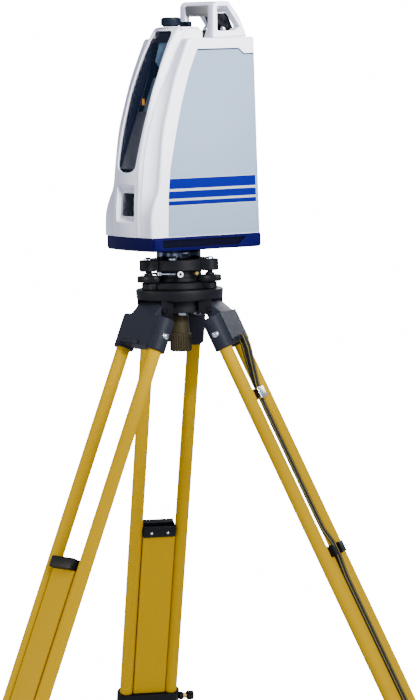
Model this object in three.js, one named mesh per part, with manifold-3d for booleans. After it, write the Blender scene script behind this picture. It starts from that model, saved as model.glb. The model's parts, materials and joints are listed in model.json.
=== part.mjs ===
// A terrestrial laser scanner with its carry handle, on a tribrach and a surveyor's tripod.
// Millimetres, +Z up. The origin lies on the ground under the instrument's vertical axis,
// and the scanner's window faces -Y.
import * as THREE from "three";
import { mergeVertices } from "three/addons/utils/BufferGeometryUtils.js";
import Module from "manifold-3d";

const wasm = await Module();
wasm.setup();

// ---------------------------------------------------------------- driving dimensions
const GAP = 0.3; // between touching pieces
const RAD = Math.PI / 180;

// tripod
const LEG_ANGLES = [-79.5, 40.5, 160.5]; // from +X, counter-clockwise
const LEG_TILT = 25.2 * RAD; // from the vertical, at the open stop
const HINGE_RADIUS = 65.6;
const HINGE_Z = 1154.5;
const HEAD_TOP = 1190;
const HEAD_THICKNESS = 18.5;
const HEAD_RADIUS = 77;
const BOSS = [51.5, 22]; // radius and depth of the disc below the head
const TONGUE_WIDTH = 62; // the yoke's narrow top, between the head's ears
const TUBE_RADIUS = 12;
const TUBE_SPACING = 84.5;
const TUBE_WALL = 1.6;
const YOKE_AT = [13.5, 73]; // stations down the leg from the hinge
const STRAP_BAR_AT = 66;
const CAP_AT = [461, 481];
const COLLAR_AT = [831, 865];
const TUBE_AT = [35, 846];
const INNER_LEG_AT = [511, 1211];
const INNER_LEG = [12, 55]; // thickness, width
const CHANNEL = [13.2, 56.4]; // what the inner leg slides in
const FOOT_LENGTH = 80;
const STRAP_LEG = 1; // index in LEG_ANGLES
const STRAP_WIDTH = 26;
const STRAP_THICKNESS = 1.6;
const STRAP_Y = -8; // the strap's middle lies beside the leg's

// tribrach
const SCREW_ANGLES = [-90, 30, 150];
const SCREW_CIRCLE = 62;
const TRIBRACH_BASE = [HEAD_TOP + 0.5, HEAD_TOP + 12];
const SCREW_DISC = [HEAD_TOP + 13.5, HEAD_TOP + 24.5];
const DISC_RADIUS = 20;
const TRIBRACH_TOP = [HEAD_TOP + 32.5, HEAD_TOP + 52.5];
const LEVER_AT = [20.9, -51.5]; // the clamp lever's pivot
const LEVER_ANGLE = 42.6; // where the lever points at rest
const SIGHT_ANGLE = -28.2; // where the plummet eyepiece points

// scanner, measured from the underside of its base
const SCANNER_Z = HEAD_TOP + 70.8;
const BASE_HEIGHT = 24;
const HALF_WIDTH = 84.5;
const WALL = 5;
const SHOULDER = 363;
const DECK = 366;
const HUMP = 386;
const COWL_HALF = 49.7;
const REAR_Y = 118;
const MIRROR = { y: -4, z: 330, radius: 26 };
const MIRROR_REST = 65; // turn at rest, which leaves a face parallel to the window
const CAP_Y = -4;

// pan drive: a ring gear fixed to the spindle, and a pinion carried by the scanner
const MODULE = 2;
const GEAR_TEETH = 48;
const PINION_TEETH = 12;
const PINION_Y = (MODULE * (GEAR_TEETH + PINION_TEETH)) / 2;

// ---------------------------------------------------------------- colours
const paint = (color, roughness, metalness = 0) =>
  new THREE.MeshStandardMaterial({ color, roughness, metalness });
const BLACK = paint(0x15161a, 0.5);
const GRAPHITE = paint(0x3a3f4b, 0.55);
const YELLOW = paint(0xffd800, 0.35);
const STEEL = paint(0xb9bdc4, 0.3, 1);
const BRASS = paint(0xb48a3c, 0.35, 1);
const OLIVE = paint(0x4b4230, 0.55);
const WHITE = paint(0xe9e9f0, 0.4);
const PANEL = paint(0xb9c6d3, 0.5);
const BLUE = paint(0x101a66, 0.3);
const GLASS = paint(0x0a1024, 0.05);
const GRIP = paint(0xa8a69c, 0.6);
const WEBBING = paint(0x1c1b18, 0.9);

// ---------------------------------------------------------------- solids
// A closed three.js geometry as a manifold-3d solid, turned right side out.
function solid(geometry) {
  const bare = geometry.clone();
  bare.deleteAttribute("normal");
  bare.deleteAttribute("uv");
  const merged = mergeVertices(bare, 1e-4);
  const corners = [];
  for (let i = 0; i < merged.index.count; i += 3) {
    const [a, b, c] = merged.index.array.slice(i, i + 3);
    if (a !== b && b !== c && c !== a) corners.push(a, b, c);
  }
  const make = (list) =>
    new wasm.Manifold(
      new wasm.Mesh({
        numProp: 3,
        vertProperties: merged.attributes.position.array,
        triVerts: new Uint32Array(list),
      }),
    );
  const made = make(corners);
  return made.volume() < 0 ? make(corners.reverse()) : made;
}

const join = (first, ...rest) => rest.reduce((a, b) => a.add(b), first);
const cut = (first, ...rest) => rest.reduce((a, b) => a.subtract(b), first);
const common = (first, ...rest) => rest.reduce((a, b) => a.intersect(b), first);
const largest = (part) => part.decompose().sort((a, b) => b.volume() - a.volume())[0];
const mirrored = (part) => part.mirror([1, 0, 0]);

// A block between two corners.
function block([x0, y0, z0], [x1, y1, z1]) {
  const g = new THREE.BoxGeometry(x1 - x0, y1 - y0, z1 - z0);
  return solid(g.translate((x0 + x1) / 2, (y0 + y1) / 2, (z0 + z1) / 2));
}

// A rod or cone along Z.
function rod(radius, z0, z1, { x = 0, y = 0, top = radius, sides = 16 } = {}) {
  const g = new THREE.CylinderGeometry(top, radius, z1 - z0, sides);
  return solid(g.rotateX(Math.PI / 2).translate(x, y, (z0 + z1) / 2));
}

// A body of revolution about Z from [radius, z] pairs that start and end on the axis.
function turned(profile, sides = 20) {
  const points = profile.map(([r, z]) => new THREE.Vector2(r, z));
  return solid(new THREE.LatheGeometry(points, sides).rotateX(Math.PI / 2));
}

const shapeOf = (outline) =>
  new THREE.Shape(outline.map(([u, v]) => new THREE.Vector2(u, v)));

// Extrusions of an outline: of [x, y] along Z, of [y, z] along X, and of [x, z] along Y.
function alongZ(outline, z0, z1) {
  const g = new THREE.ExtrudeGeometry(shapeOf(outline), { depth: z1 - z0, bevelEnabled: false });
  return solid(g.translate(0, 0, z0));
}
function alongX(outline, x0, x1) {
  const g = new THREE.ExtrudeGeometry(shapeOf(outline), { depth: x1 - x0, bevelEnabled: false });
  return solid(g.rotateY(Math.PI / 2).rotateX(Math.PI / 2).translate(x0, 0, 0));
}
function alongY(outline, y0, y1) {
  const g = new THREE.ExtrudeGeometry(shapeOf(outline), { depth: y1 - y0, bevelEnabled: false });
  return solid(g.rotateX(Math.PI / 2).translate(0, y1, 0));
}

// A skin over rings of points, closed at both ends; flat(point) is a ring's 2-D outline.
function loft(rings, flat) {
  const n = rings[0].length;
  const last = (rings.length - 1) * n;
  const index = [];
  for (let k = 0; k + 1 < rings.length; k++)
    for (let i = 0; i < n; i++) {
      const a = k * n + i;
      const b = k * n + ((i + 1) % n);
      index.push(a, b, b + n, a, b + n, a + n);
    }
  for (const [a, b, c] of THREE.ShapeUtils.triangulateShape(rings[0].map(flat), []))
    index.push(a, c, b);
  for (const [a, b, c] of THREE.ShapeUtils.triangulateShape(rings.at(-1).map(flat), []))
    index.push(last + a, last + b, last + c);
  const g = new THREE.BufferGeometry().setFromPoints(rings.flat());
  g.setIndex(index);
  return solid(g);
}

// A smooth curve through [z, y] pairs, as a function y(z).
function curve(pairs) {
  const spline = new THREE.SplineCurve(pairs.map(([z, y]) => new THREE.Vector2(z, y)));
  const samples = spline.getPoints(120);
  return (z) => {
    const at = Math.max(1, samples.findIndex((p) => p.x >= z));
    const after = z > samples.at(-1).x ? samples.length - 1 : at;
    const [p, q] = [samples[after - 1], samples[after]];
    return p.y + ((z - p.x) / (q.x - p.x)) * (q.y - p.y);
  };
}

const evenly = (from, to, count) =>
  Array.from({ length: count + 1 }, (_, i) => from + ((to - from) * i) / count);

// A named mesh of a solid, hung on a group.
function piece(name, material, part, parent) {
  const { vertProperties, triVerts } = part.getMesh();
  const g = new THREE.BufferGeometry()
    .setAttribute("position", new THREE.BufferAttribute(vertProperties, 3))
    .setIndex(new THREE.BufferAttribute(triVerts, 1));
  g.computeVertexNormals();
  const mesh = new THREE.Mesh(g, material);
  mesh.name = name;
  parent.add(mesh);
}

const group = new THREE.Group();

// ---------------------------------------------------------------- tripod head
// A disc with a boss below, and a pair of ears for each leg's hinge pin.
function headPlate() {
  const under = HEAD_TOP - HEAD_THICKNESS;
  const disc = rod(HEAD_RADIUS - 2, under, HEAD_TOP - 3, { top: HEAD_RADIUS, sides: 30 });
  const rim = rod(HEAD_RADIUS, HEAD_TOP - 3, HEAD_TOP, { top: HEAD_RADIUS - 1.5, sides: 30 });
  const boss = rod(BOSS[0], under - BOSS[1], under + 1, { sides: 30 });
  const [r, z] = [HINGE_RADIUS, HINGE_Z];
  const earShape = [
    [r - 18, under + 1], [r - 18, z - 4.5], [r - 4, z - 8],
    [r + 4, z - 8], [r + 9, z - 2], [r + 10.5, under + 1],
  ];
  const inner = TONGUE_WIDTH / 2 + 0.5;
  const ears = LEG_ANGLES.flatMap((angle) =>
    [[inner, inner + 6.5], [-inner - 6.5, -inner]].map(([y0, y1]) =>
      alongY(earShape, y0, y1).rotate([0, 0, angle]),
    ),
  );
  const pinHoles = LEG_ANGLES.map((angle) =>
    rod(4.5, -60, 60).rotate([90, 0, 0]).translate([r, 0, z]).rotate([0, 0, angle]),
  );
  const trimmed = common(join(...ears), rod(HEAD_RADIUS - 1, under - 30, under + 2, { sides: 30 }));
  return cut(join(disc, rim, boss, trimmed), rod(10.5, under - 30, HEAD_TOP + 1), ...pinHoles);
}

// The central screw: a threaded stem up into the tribrach, and a fluted knob below the boss.
function fixingScrew() {
  const bossEnd = HEAD_TOP - HEAD_THICKNESS - BOSS[1];
  const stem = turned([
    [0, bossEnd - 70.5], [17.6, bossEnd - 70.5], [19.2, bossEnd - 68], [19.2, bossEnd - 40],
    [16.5, bossEnd - 38], [13.9, bossEnd - 1], [7.5, bossEnd - 1], [7.5, HEAD_TOP + 8], [0, HEAD_TOP + 8],
  ], 24);
  const flutes = evenly(0, 330, 11).map((angle) =>
    rod(1.6, bossEnd - 72, bossEnd - 42, { x: 19.9, sides: 6 }).rotate([0, 0, angle]),
  );
  return cut(stem, ...flutes);
}

// ---------------------------------------------------------------- legs
// A leg is built along its own axis: x outward, y across, and z = -station down the leg.
const leg = (angle) => {
  const turn = new THREE.Group();
  turn.rotation.z = angle * RAD;
  const hinge = new THREE.Group();
  hinge.position.set(HINGE_RADIUS, 0, HINGE_Z);
  hinge.rotation.y = -LEG_TILT;
  turn.add(hinge);
  group.add(turn);
  return hinge;
};

const bothTubes = (make) => [make(TUBE_SPACING / 2), make(-TUBE_SPACING / 2)];

function yoke() {
  const [top, end] = YOKE_AT;
  const tongue = alongY(
    [[4, 14], [19, -17], [19, -34], [-7, -34], [-10, 6], [-5, 12]],
    -TONGUE_WIDTH / 2, TONGUE_WIDTH / 2,
  );
  const half = TUBE_SPACING / 2;
  const web = block([-7, -half, 3 - end], [19, half, -top]);
  const sockets = bothTubes((y) => rod(17.5, -end, -top, { y, sides: 20 }));
  const bores = bothTubes((y) => rod(TUBE_RADIUS + GAP, -end - 1, -TUBE_AT[0] + 1, { y }));
  const pin = rod(4, -37.5, 37.5, { sides: 10 }).rotate([90, 0, 0]);
  const bar = -STRAP_BAR_AT;
  const strapEars = [9, -28].map((y) => block([18, y, bar - 4], [28.5, y + 3, bar + 4]));
  const strapBar = rod(2.4, -18, 18, { sides: 8 }).rotate([90, 0, 0])
    .translate([25.4, STRAP_Y, bar]);
  return cut(join(tongue, web, ...sockets, pin, ...strapEars, strapBar), ...bores);
}

function legTube(y) {
  const [from, to] = TUBE_AT;
  return cut(
    rod(TUBE_RADIUS, -to, -from, { y }),
    rod(TUBE_RADIUS - TUBE_WALL, -to - 1, -from + 1, { y }),
  );
}

const slot = (from, to, [thick, wide]) =>
  block([-thick / 2, -wide / 2, -to], [thick / 2, wide / 2, -from]);

function legPanel() {
  const wide = TUBE_SPACING - 2 * TUBE_RADIUS - 2 * GAP;
  const [from, to] = [CAP_AT[1] + GAP, COLLAR_AT[0] - GAP];
  return cut(slot(from, to, [19, wide]), slot(from - 1, to + 1, CHANNEL));
}

// The bracket between the tubes; a groove in its outer face lets the strap by.
function crossBracket(grooved) {
  const half = TUBE_SPACING / 2 - TUBE_RADIUS - GAP;
  const [from, to] = CAP_AT;
  const body = cut(block([-13, -half, -to], [20, half, -from]), slot(from - 1, to + 1, CHANNEL));
  if (!grooved) return body;
  return cut(body, block([13, STRAP_Y - 14, -to - 1], [21, STRAP_Y + 14, 1 - from]));
}

function collar() {
  const [from, to] = COLLAR_AT;
  const ends = bothTubes((y) => rod(17, -to, -from, { y, sides: 20 }));
  const bores = bothTubes((y) => rod(TUBE_RADIUS + GAP, -TUBE_AT[1] - 1, -from + 1, { y }));
  const body = join(slot(from, to, [34, TUBE_SPACING]), ...ends);
  return cut(body, slot(from - 1, to + 1, CHANNEL), ...bores);
}

function clampKnob() {
  const profile = [[0, 0], [6, 0], [6, 8], [4.5, 9], [4.5, 14], [8, 15], [9, 17], [9, 27], [0, 29]];
  const out = TUBE_SPACING / 2 + 17 + GAP;
  return turned(profile, 14).rotate([90, 0, 0]).translate([0, -out, -(COLLAR_AT[0] + COLLAR_AT[1]) / 2]);
}

function innerLeg() {
  const [from, to] = INNER_LEG_AT;
  const hollow = INNER_LEG.map((size) => size - 3.6);
  return cut(slot(from, to, INNER_LEG), slot(from - 1, to + 1, hollow));
}

// The shoe: a plug in the inner leg, a step plate, and a spike worn flat where it stands.
function foot() {
  const top = INNER_LEG_AT[1] + GAP;
  const plug = slot(top - 22, top + 2, [7.8, 50.8]);
  const sole = [
    [-31, -top], [-31, -top - 16], [-12, -top - 40], [12, -top - 40], [31, -top - 16], [31, -top],
  ];
  const shoe = alongX(sole, -11, 11);
  const step = block([9, -17, -top - 24], [36, 17, -top - 18]);
  const spike = rod(4, -top - FOOT_LENGTH, -top - 38, { top: 10.5, sides: 16 });
  const ground = new THREE.BoxGeometry(2000, 500, 200).translate(0, 0, -100 - HINGE_Z);
  return cut(join(plug, shoe, step, spike), solid(ground.rotateY(LEG_TILT)));
}

// A band of even thickness along [x, z] points.
function ribbon(points, thickness) {
  const path = points.map(([x, z]) => new THREE.Vector2(x, z));
  const side = (sign) =>
    path.map((p, i) => {
      const before = path[Math.max(0, i - 1)];
      const after = path[Math.min(path.length - 1, i + 1)];
      const along = after.clone().sub(before).normalize();
      return [p.x - (sign * along.y * thickness) / 2, p.y + (sign * along.x * thickness) / 2];
    });
  const [left, right] = [STRAP_Y - STRAP_WIDTH / 2, STRAP_Y + STRAP_WIDTH / 2];
  return alongY([...side(1), ...side(-1).reverse()], left, right);
}

// The carrying strap: up the outside of the leg, over the yoke's bar and back to the buckle.
function strap() {
  const bend = evenly(180, 0, 8).map((angle) => [
    25.4 + 4.2 * Math.cos(angle * RAD),
    -STRAP_BAR_AT + 4.2 * Math.sin(angle * RAD),
  ]);
  return ribbon(
    [[18.8, -862], [18.6, -826], [11.6, -790], [11.2, -520], [14.6, -486], [14.6, -456],
      [9, -430], [8.4, -400], [8.4, -200], [8.8, -168], [15, -112], [20.6, -80],
      ...bend, [28.6, -86], [24, -106], [17.5, -134], [12.6, -154], [12.6, -170]],
    STRAP_THICKNESS,
  );
}

const buckle = () =>
  cut(
    block([5.2, STRAP_Y - 16, -178], [16.6, STRAP_Y + 16, -158]),
    block([7, STRAP_Y - 14, -179], [14.8, STRAP_Y + 14, -157]),
    block([7.4, STRAP_Y - 17, -175.5], [14.4, STRAP_Y + 17, -160.5]),
  );

LEG_ANGLES.forEach((angle, i) => {
  const own = (part) => `${part}_${i + 1}`;
  const hung = leg(angle);
  piece(own("yoke"), GRAPHITE, yoke(), hung);
  piece(own("tube_a"), YELLOW, legTube(-TUBE_SPACING / 2), hung);
  piece(own("tube_b"), YELLOW, legTube(TUBE_SPACING / 2), hung);
  piece(own("cross_bracket"), BLACK, crossBracket(i === STRAP_LEG), hung);
  piece(own("leg_panel"), YELLOW, legPanel(), hung);
  piece(own("collar"), BLACK, collar(), hung);
  piece(own("clamp_knob"), BRASS, clampKnob(), hung);
  piece(own("inner_leg"), YELLOW, innerLeg(), hung);
  piece(own("foot"), GRAPHITE, foot(), hung);
  if (i === STRAP_LEG) {
    piece("strap", WEBBING, strap(), hung);
    piece("strap_buckle", STEEL, buckle(), hung);
  }
});
piece("head_plate", BLACK, headPlate(), group);
piece("fixing_screw", OLIVE, fixingScrew(), group);

// ---------------------------------------------------------------- tribrach
const aroundScrews = (make) =>
  SCREW_ANGLES.map((angle) => {
    const turn = angle * RAD;
    return make(SCREW_CIRCLE * Math.cos(turn), SCREW_CIRCLE * Math.sin(turn));
  });

// A plate with three round lobes, one over each foot screw.
function lobedPlate([z0, z1], lobe, hub) {
  const lobes = aroundScrews((x, y) => rod(lobe, z0, z1, { x, y }));
  const ties = SCREW_ANGLES.map((angle) =>
    block([0, -lobe, z0], [SCREW_CIRCLE, lobe, z1]).rotate([0, 0, angle]),
  );
  return join(rod(hub, z0, z1, { sides: 30 }), ...lobes, ...ties);
}

function tribrachTop() {
  const [z0, z1] = TRIBRACH_TOP;
  const drum = rod(26, z0 - 8, z0 + 1);
  const telescope = rod(3.6, 12, 55, { sides: 16 })
    .rotate([0, 90, 0]).translate([0, 0, z0 - 4.2]).rotate([0, 0, SIGHT_ANGLE]);
  const holes = aroundScrews((x, y) => rod(5.4, z0 - 1, z1 + 1, { x, y, sides: 10 }));
  const socket = rod(17.4, z1 - 14, z1 + 1);
  return cut(join(lobedPlate(TRIBRACH_TOP, 15.5, 54), drum, telescope), ...holes, socket);
}

function tribrachBase() {
  const threaded = rod(8.2, TRIBRACH_BASE[0] - 1, TRIBRACH_BASE[1] + 1);
  return cut(lobedPlate(TRIBRACH_BASE, 12, 56), threaded);
}

// A knurled disc low down on a thread that ends in a dome above the top plate.
function footScrew(x, y) {
  const [z0, z1] = SCREW_DISC;
  const top = TRIBRACH_TOP[1];
  const screw = turned([
    [0, z0 - 1.2], [6, z0 - 1.2], [6, z0], [DISC_RADIUS - 1.5, z0], [DISC_RADIUS, z0 + 1.5],
    [DISC_RADIUS, z1 - 1.5], [DISC_RADIUS - 1.5, z1], [8, z1],
    [8, z1 + 4], [5, z1 + 4], [5, top + GAP], [7, top + GAP],
    [6.4, top + 2.6], [3.6, top + 4], [0, top + 4.4],
  ], 16);
  return screw.translate([x, y, 0]);
}

function clampLever() {
  const [x, y] = LEVER_AT;
  const z = TRIBRACH_TOP[0] - GAP;
  const hub = rod(4.5, z - 7, z, { sides: 16 });
  const arm = rod(1.6, 2, 30, { top: 2.8, sides: 12 }).rotate([0, 90, 0]).translate([0, 0, z - 4]);
  return join(hub, arm).rotate([0, 0, LEVER_ANGLE]).translate([x, y, 0]);
}

function eyepiece() {
  const ring = turned([[0, 0], [3.6, 0], [3.6, 2], [5.4, 3], [5.4, 11], [3.4, 12], [2.6, 10], [0, 10]], 24);
  return ring.rotate([0, 90, 0]).translate([55.6, 0, TRIBRACH_TOP[0] - 4.2]).rotate([0, 0, SIGHT_ANGLE]);
}

piece("tribrach_top", BLACK, tribrachTop(), group);
piece("tribrach_base", BLACK, tribrachBase(), group);
aroundScrews(footScrew).forEach((screw, i) => piece(`foot_screw_${i + 1}`, BLACK, screw, group));
piece("clamp_lever", STEEL, clampLever(), group);
piece("eyepiece", BLACK, eyepiece(), group);

// ---------------------------------------------------------------- scanner
const scanner = new THREE.Group();
scanner.position.z = SCANNER_Z;
group.add(scanner);

// Front outlines: the cowl beside the window, its edge by the groove, and the side pillar.
const cowlFront = curve([
  [0, -103], [40, -105], [70, -105], [105, -102], [145, -99.5], [185, -92], [218, -84], [245, -76],
  [273, -67.5], [300, -57], [327, -46], [358, -31], [374, -21], [HUMP + 4, -11],
]);
const grooveFront = curve([
  [0, -102], [54, -103], [92, -100], [149, -94], [185, -87.5], [220, -78.2], [273, -58.2], [310, -40.2],
  [346, -23.2], [370, -9], [HUMP + 4, 2],
]);
const pillarFront = curve([
  [0, -100], [60, -99.5], [83, -93.5], [106, -84], [148, -78.5], [205, -70.5], [250, -58.5],
  [295, -44.5], [332, -29.5], [DECK + 4, -13],
]);
const lean = (z) => (6 * (z - BASE_HEIGHT)) / (DECK - BASE_HEIGHT);

// The housing's outline at height z, pulled in by inset.
function housingRing(z, inset, shoulder) {
  const half = HALF_WIDTH - lean(z) - inset - shoulder;
  const rear = REAR_Y - inset - shoulder;
  const front = pillarFront(z) + inset + shoulder;
  const groove = grooveFront(z) + inset + shoulder;
  const right = [
    [48 - inset / 2, groove], [half - 12, front - 0.8], [half - 4.5, front + 0.6], [half - 1.2, front + 3],
    [half, front + 8], [half, rear - 6], [half - 1, rear - 2.5], [half - 3, rear - 0.8], [half - 7, rear],
  ];
  const left = right.map(([x, y]) => [-x, y]).reverse();
  return [...right, ...left].map(([x, y]) => new THREE.Vector3(x, y, z));
}

// The housing as a solid block, pulled in by inset.
function housingBlock(inset = 0, bottom = BASE_HEIGHT + GAP) {
  const levels = evenly(bottom, SHOULDER - 2 - inset, 14).map((z) => housingRing(z, inset, 0));
  const shoulder = [housingRing(SHOULDER - inset, inset, 1), housingRing(DECK - inset, inset, 4)];
  return loft([...levels, ...shoulder], (p) => new THREE.Vector2(p.x, p.y));
}

// The cowl in front of the housing, as a solid block: outlines in y and z, stacked across x.
function cowlBlock() {
  const levels = evenly(BASE_HEIGHT + GAP, HUMP - 5, 16);
  const ring = (x) => {
    const out = Math.abs(x);
    const edge = THREE.MathUtils.smoothstep(out, 39, COWL_HALF);
    const bow = 2.6 * (1 - (out / 36) ** 2) * (out < 36 ? 1 : 0);
    const top = HUMP - 4 * edge ** 2;
    const front = (z) => THREE.MathUtils.lerp(cowlFront(z), grooveFront(z), edge) - bow;
    const face = levels.map((z) => [front(z), Math.min(z, top - 4)]);
    const hump = [[front(HUMP - 2) + 3, top - 1], [front(HUMP - 2) + 9, top], [26, top], [29.5, top - 3]];
    const outline = [...face, ...hump, [30, DECK], [30, BASE_HEIGHT + GAP]];
    return outline.reverse().map(([y, z]) => new THREE.Vector3(x, y, z));
  };
  const across = [-COWL_HALF, -47.8, -44.5, -39, -18, 0, 18, 39, 44.5, 47.8, COWL_HALF];
  return loft(across.map(ring), (p) => new THREE.Vector2(p.y, p.z));
}

const shell = housingBlock();
const cowl = cowlBlock();

// The window's outline, widened by more than its own half width at mid height.
function windowPrism(gap) {
  const widths = [
    [141, 24], [144, 28], [152, 30.5], [215, 34], [300, 34.5], [350, 31], [374, 28], [379, 22],
  ];
  const right = widths.map(([z, half]) => [half - gap, z + (z < 200 ? gap : -gap)]);
  const left = right.map(([x, z]) => [-x, z]).reverse();
  return alongY([...right, ...left], -130, 20);
}

// The slanted pocket under the window that the port cover closes.
const RECESS_FLOOR = [[-98.4, 56], [-93.6, 106]];
function recessPrism() {
  const corners = (half, y, z0, z1) =>
    [[-half, z0], [half, z0], [half, z1], [-half, z1]].map(([x, z]) => new THREE.Vector3(x, y(z), z));
  const floorAt = (z) => THREE.MathUtils.mapLinear(z, 56, 106, RECESS_FLOOR[0][0], RECESS_FLOOR[1][0]);
  const outer = corners(36, () => -112, 45, 124);
  const inner = corners(25, floorAt, 56, 106);
  return loft([outer, inner], (p) => new THREE.Vector2(p.x, p.z));
}

const sidePanelOutline = (gap) => [
  [-68 + gap, BASE_HEIGHT + 1 + gap], [-66.5 + gap, 60], [-65 + gap, 95], [-60 + gap, 140],
  [-52 + gap, 176], [-43 + gap, 215], [-34 + gap, 250], [-24 + gap, 282], [-15 + gap, 309],
  [1 + gap, 345.5 - gap], [84, 345.5 - gap], [95, 336 - gap],
  [REAR_Y - 2.5 - gap, 336 - gap], [REAR_Y - 2.5 - gap, BASE_HEIGHT + 1 + gap],
];

// Everything outside the housing's right side but the last few millimetres, within the panel outline.
const sidePocket = (depth, gap) =>
  cut(alongX(sidePanelOutline(gap), 40, 100), shell.translate([-depth, 0, 0]));
const sidePanel = () => common(sidePocket(2.4, GAP), shell);

// Left or right half of the hollow housing, without the cowl's strip.
function housingHalf(sign) {
  const pocket = sidePocket(2.8, 0);
  const hollow = cut(shell, housingBlock(WALL, 10), pocket, mirrored(pocket));
  const strip = block([-50, -130, 0], [50, 30.3, 400]);
  const right = block([GAP / 2, -130, 0], [100, 130, 400]);
  const half = largest(common(cut(hollow, strip), sign > 0 ? right : mirrored(right)));
  return sign > 0 ? cut(half, rod(7, -130, -90, { x: 45, y: 66 }).rotate([90, 0, 0])) : half;
}

function frontCowl() {
  const behind = cowl.translate([0, 3.2, -3]);
  const low = common(behind, block([-60, -130, 0], [60, 40, SHOULDER - 4]));
  const hump = block([-46, -12, SHOULDER - 6], [46, 26.5, HUMP - 3]);
  const belowSlant = [block([-60, -90, 0], [60, 40, 60]), block([-60, -60, 0], [60, 40, 200])];
  const face = cut(cowl, low, hump, ...belowSlant);
  const backing = common(cowl, block([-38, -130, 44], [38, -88.5, 126]));
  return cut(join(face, backing), windowPrism(0), recessPrism());
}

function windowGlass() {
  const slab = cut(cowl.translate([0, 1.6, -0.8]), cowl.translate([0, 4.2, -2.2]));
  return common(slab, windowPrism(GAP));
}

function baseTray() {
  const outline = (inset) => {
    const right = [
      [0, -106.5 + inset], [40, -105 + inset], [70, -101 + inset], [80, -98.8 + inset],
      [83.8 - inset, -97 + inset], [85 - inset, -93], [85 - inset, 115],
      [84 - inset, 118 - inset], [82 - inset, 119.4 - inset], [77, 120 - inset],
    ];
    const left = right.slice(1).map(([x, y]) => [-x, y]).reverse();
    return [...right, ...left];
  };
  const lower = loft(
    [[0, 3], [3, 0.6], [6, 0], [BASE_HEIGHT, 0]].map(([z, inset]) =>
      outline(inset).map(([x, y]) => new THREE.Vector3(x, y, z))),
    (p) => new THREE.Vector2(p.x, p.y),
  );
  const pocket = alongZ(outline(4.5), 5, BASE_HEIGHT + 1);
  const groove = alongX([[-80, 6], [72, 6], [86, 19.5], [-80, 19.5]], HALF_WIDTH - 2.4, HALF_WIDTH + 5);
  return cut(lower, pocket, groove, mirrored(groove), rod(31.3, -1, 6, { sides: 24 }));
}

// The spindle stands in the tribrach's socket and carries the bearing and the ring gear.
const spindle = () =>
  turned([
    [0, -28], [17, -28], [17, -18 + GAP], [35, -18 + GAP], [35, -0.5],
    [24, -0.5], [24, 20], [22.5, 21.5], [0, 21.5],
  ], 24);

const panBearing = () => cut(rod(30.9, 0, 6, { sides: 24 }), rod(24.4, -1, 7, { sides: 24 }));

// A spur gear's outline with plain straight-sided teeth; phase turns it, in tooth pitches.
function gearOutline(teeth, phase) {
  const pitch = (MODULE * teeth) / 2;
  const corners = [[-0.33, -1.25], [-0.11, 0.8], [0.11, 0.8], [0.33, -1.25]];
  return Array.from({ length: teeth }, (_, tooth) =>
    corners.map(([part, height]) => {
      const angle = ((tooth + part + phase) / teeth) * 2 * Math.PI;
      const radius = pitch + height * MODULE;
      return [radius * Math.cos(angle), radius * Math.sin(angle)];
    }),
  ).flat();
}

const panGear = () => cut(alongZ(gearOutline(GEAR_TEETH, 0), 8, 14), rod(24.4, 7, 15, { sides: 24 }));

// The pinion shows a gap to the ring gear where the ring gear shows it a tooth.
function panPinion() {
  const shaft = rod(5, 14, 22, { sides: 16 });
  return join(alongZ(gearOutline(PINION_TEETH, 0.5), 7.5, 14.5), shaft).translate([0, PINION_Y, 0]);
}

// A floor, an upright and a light-tight box behind the window, with the ramp below the optics.
function chassis() {
  const floor = block([-58, -70, 26], [58, 100, 29]);
  const upright = block([-58, 25, 28], [58, 28, 350]);
  const wallOutline = [...evenly(140, 356, 8).map((z) => [cowlFront(z) + 9, z]), [26, 356], [26, 140]];
  const walls = [[36.5, 38.5], [-38.5, -36.5]].map(([x0, x1]) => alongX(wallOutline, x0, x1));
  const ramp = alongX([[-91, 141], [-88, 141], [-51, 238], [-54, 238]], -37, 37);
  const shaftHole = rod(6, 30, 45).rotate([0, 90, 0]).translate([0, MIRROR.y, MIRROR.z]);
  return cut(join(floor, upright, ...walls, ramp), shaftHole);
}

// A four-sided mirror on a cross shaft.
function mirror() {
  const prism = rod(MIRROR.radius, -30, 30, { sides: 4 });
  const shaft = rod(4, -36, 39, { sides: 16 });
  const turning = join(prism, shaft).rotate([0, 90, 0]);
  return turning.rotate([MIRROR_REST, 0, 0]).translate([0, MIRROR.y, MIRROR.z]);
}

const mirrorMotor = () => rod(15, 39.5, 66).rotate([0, 90, 0]).translate([0, MIRROR.y, MIRROR.z]);

const lidarModule = () => alongX([[-53, 226], [-24.5, 298], [18, 298], [18, 226]], -30, 30);

const battery = () => block([-42, 42, 32], [42, 98, 132]);

// ---------------------------------------------------------------- handle and controls
const handleWindow = [[55.5, 377.5], [56, 421], [76, 421.5], [102, 384], [91, 377.5]];

// Two cheeks that flare inward at the deck, and the bar between their tops.
function handleFrame() {
  const foot = DECK + GAP;
  const outline = [[47, foot], [48.5, 422], [55, 429], [80, 429], [101, 402], [116, foot]];
  const cheek = cut(alongX(outline, 37.5, 58), alongX(handleWindow, 0, 100));
  const flare = alongY([[38, foot], [25, foot], [31, foot + 8], [38, foot + 26]], 47.2, 57);
  const section = [
    [51.6, 416], [51.6, 421.8], [49.6, 421.8], [50.6, 424.6], [56, 429],
    [79, 429], [84.5, 423], [89.5, 409], [82, 409], [79.5, 416],
  ];
  const bar = alongX(section, -38, 38);
  return join(cheek, mirrored(cheek), flare, mirrored(flare), bar);
}

const handleGrip = () =>
  alongX(
    [[48.6, 406], [47.6, 421.4], [51.2, 421.4], [51.2, 415.7], [66, 415.7], [66, 408], [62, 403],
      [53, 402.5]],
    -37.2, 37.2,
  );

const handleBack = () =>
  alongX([[87.6, 408.7], [83.6, 408.7], [103.5, DECK + GAP], [107.5, DECK + GAP]], -37.2, 37.2);

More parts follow.
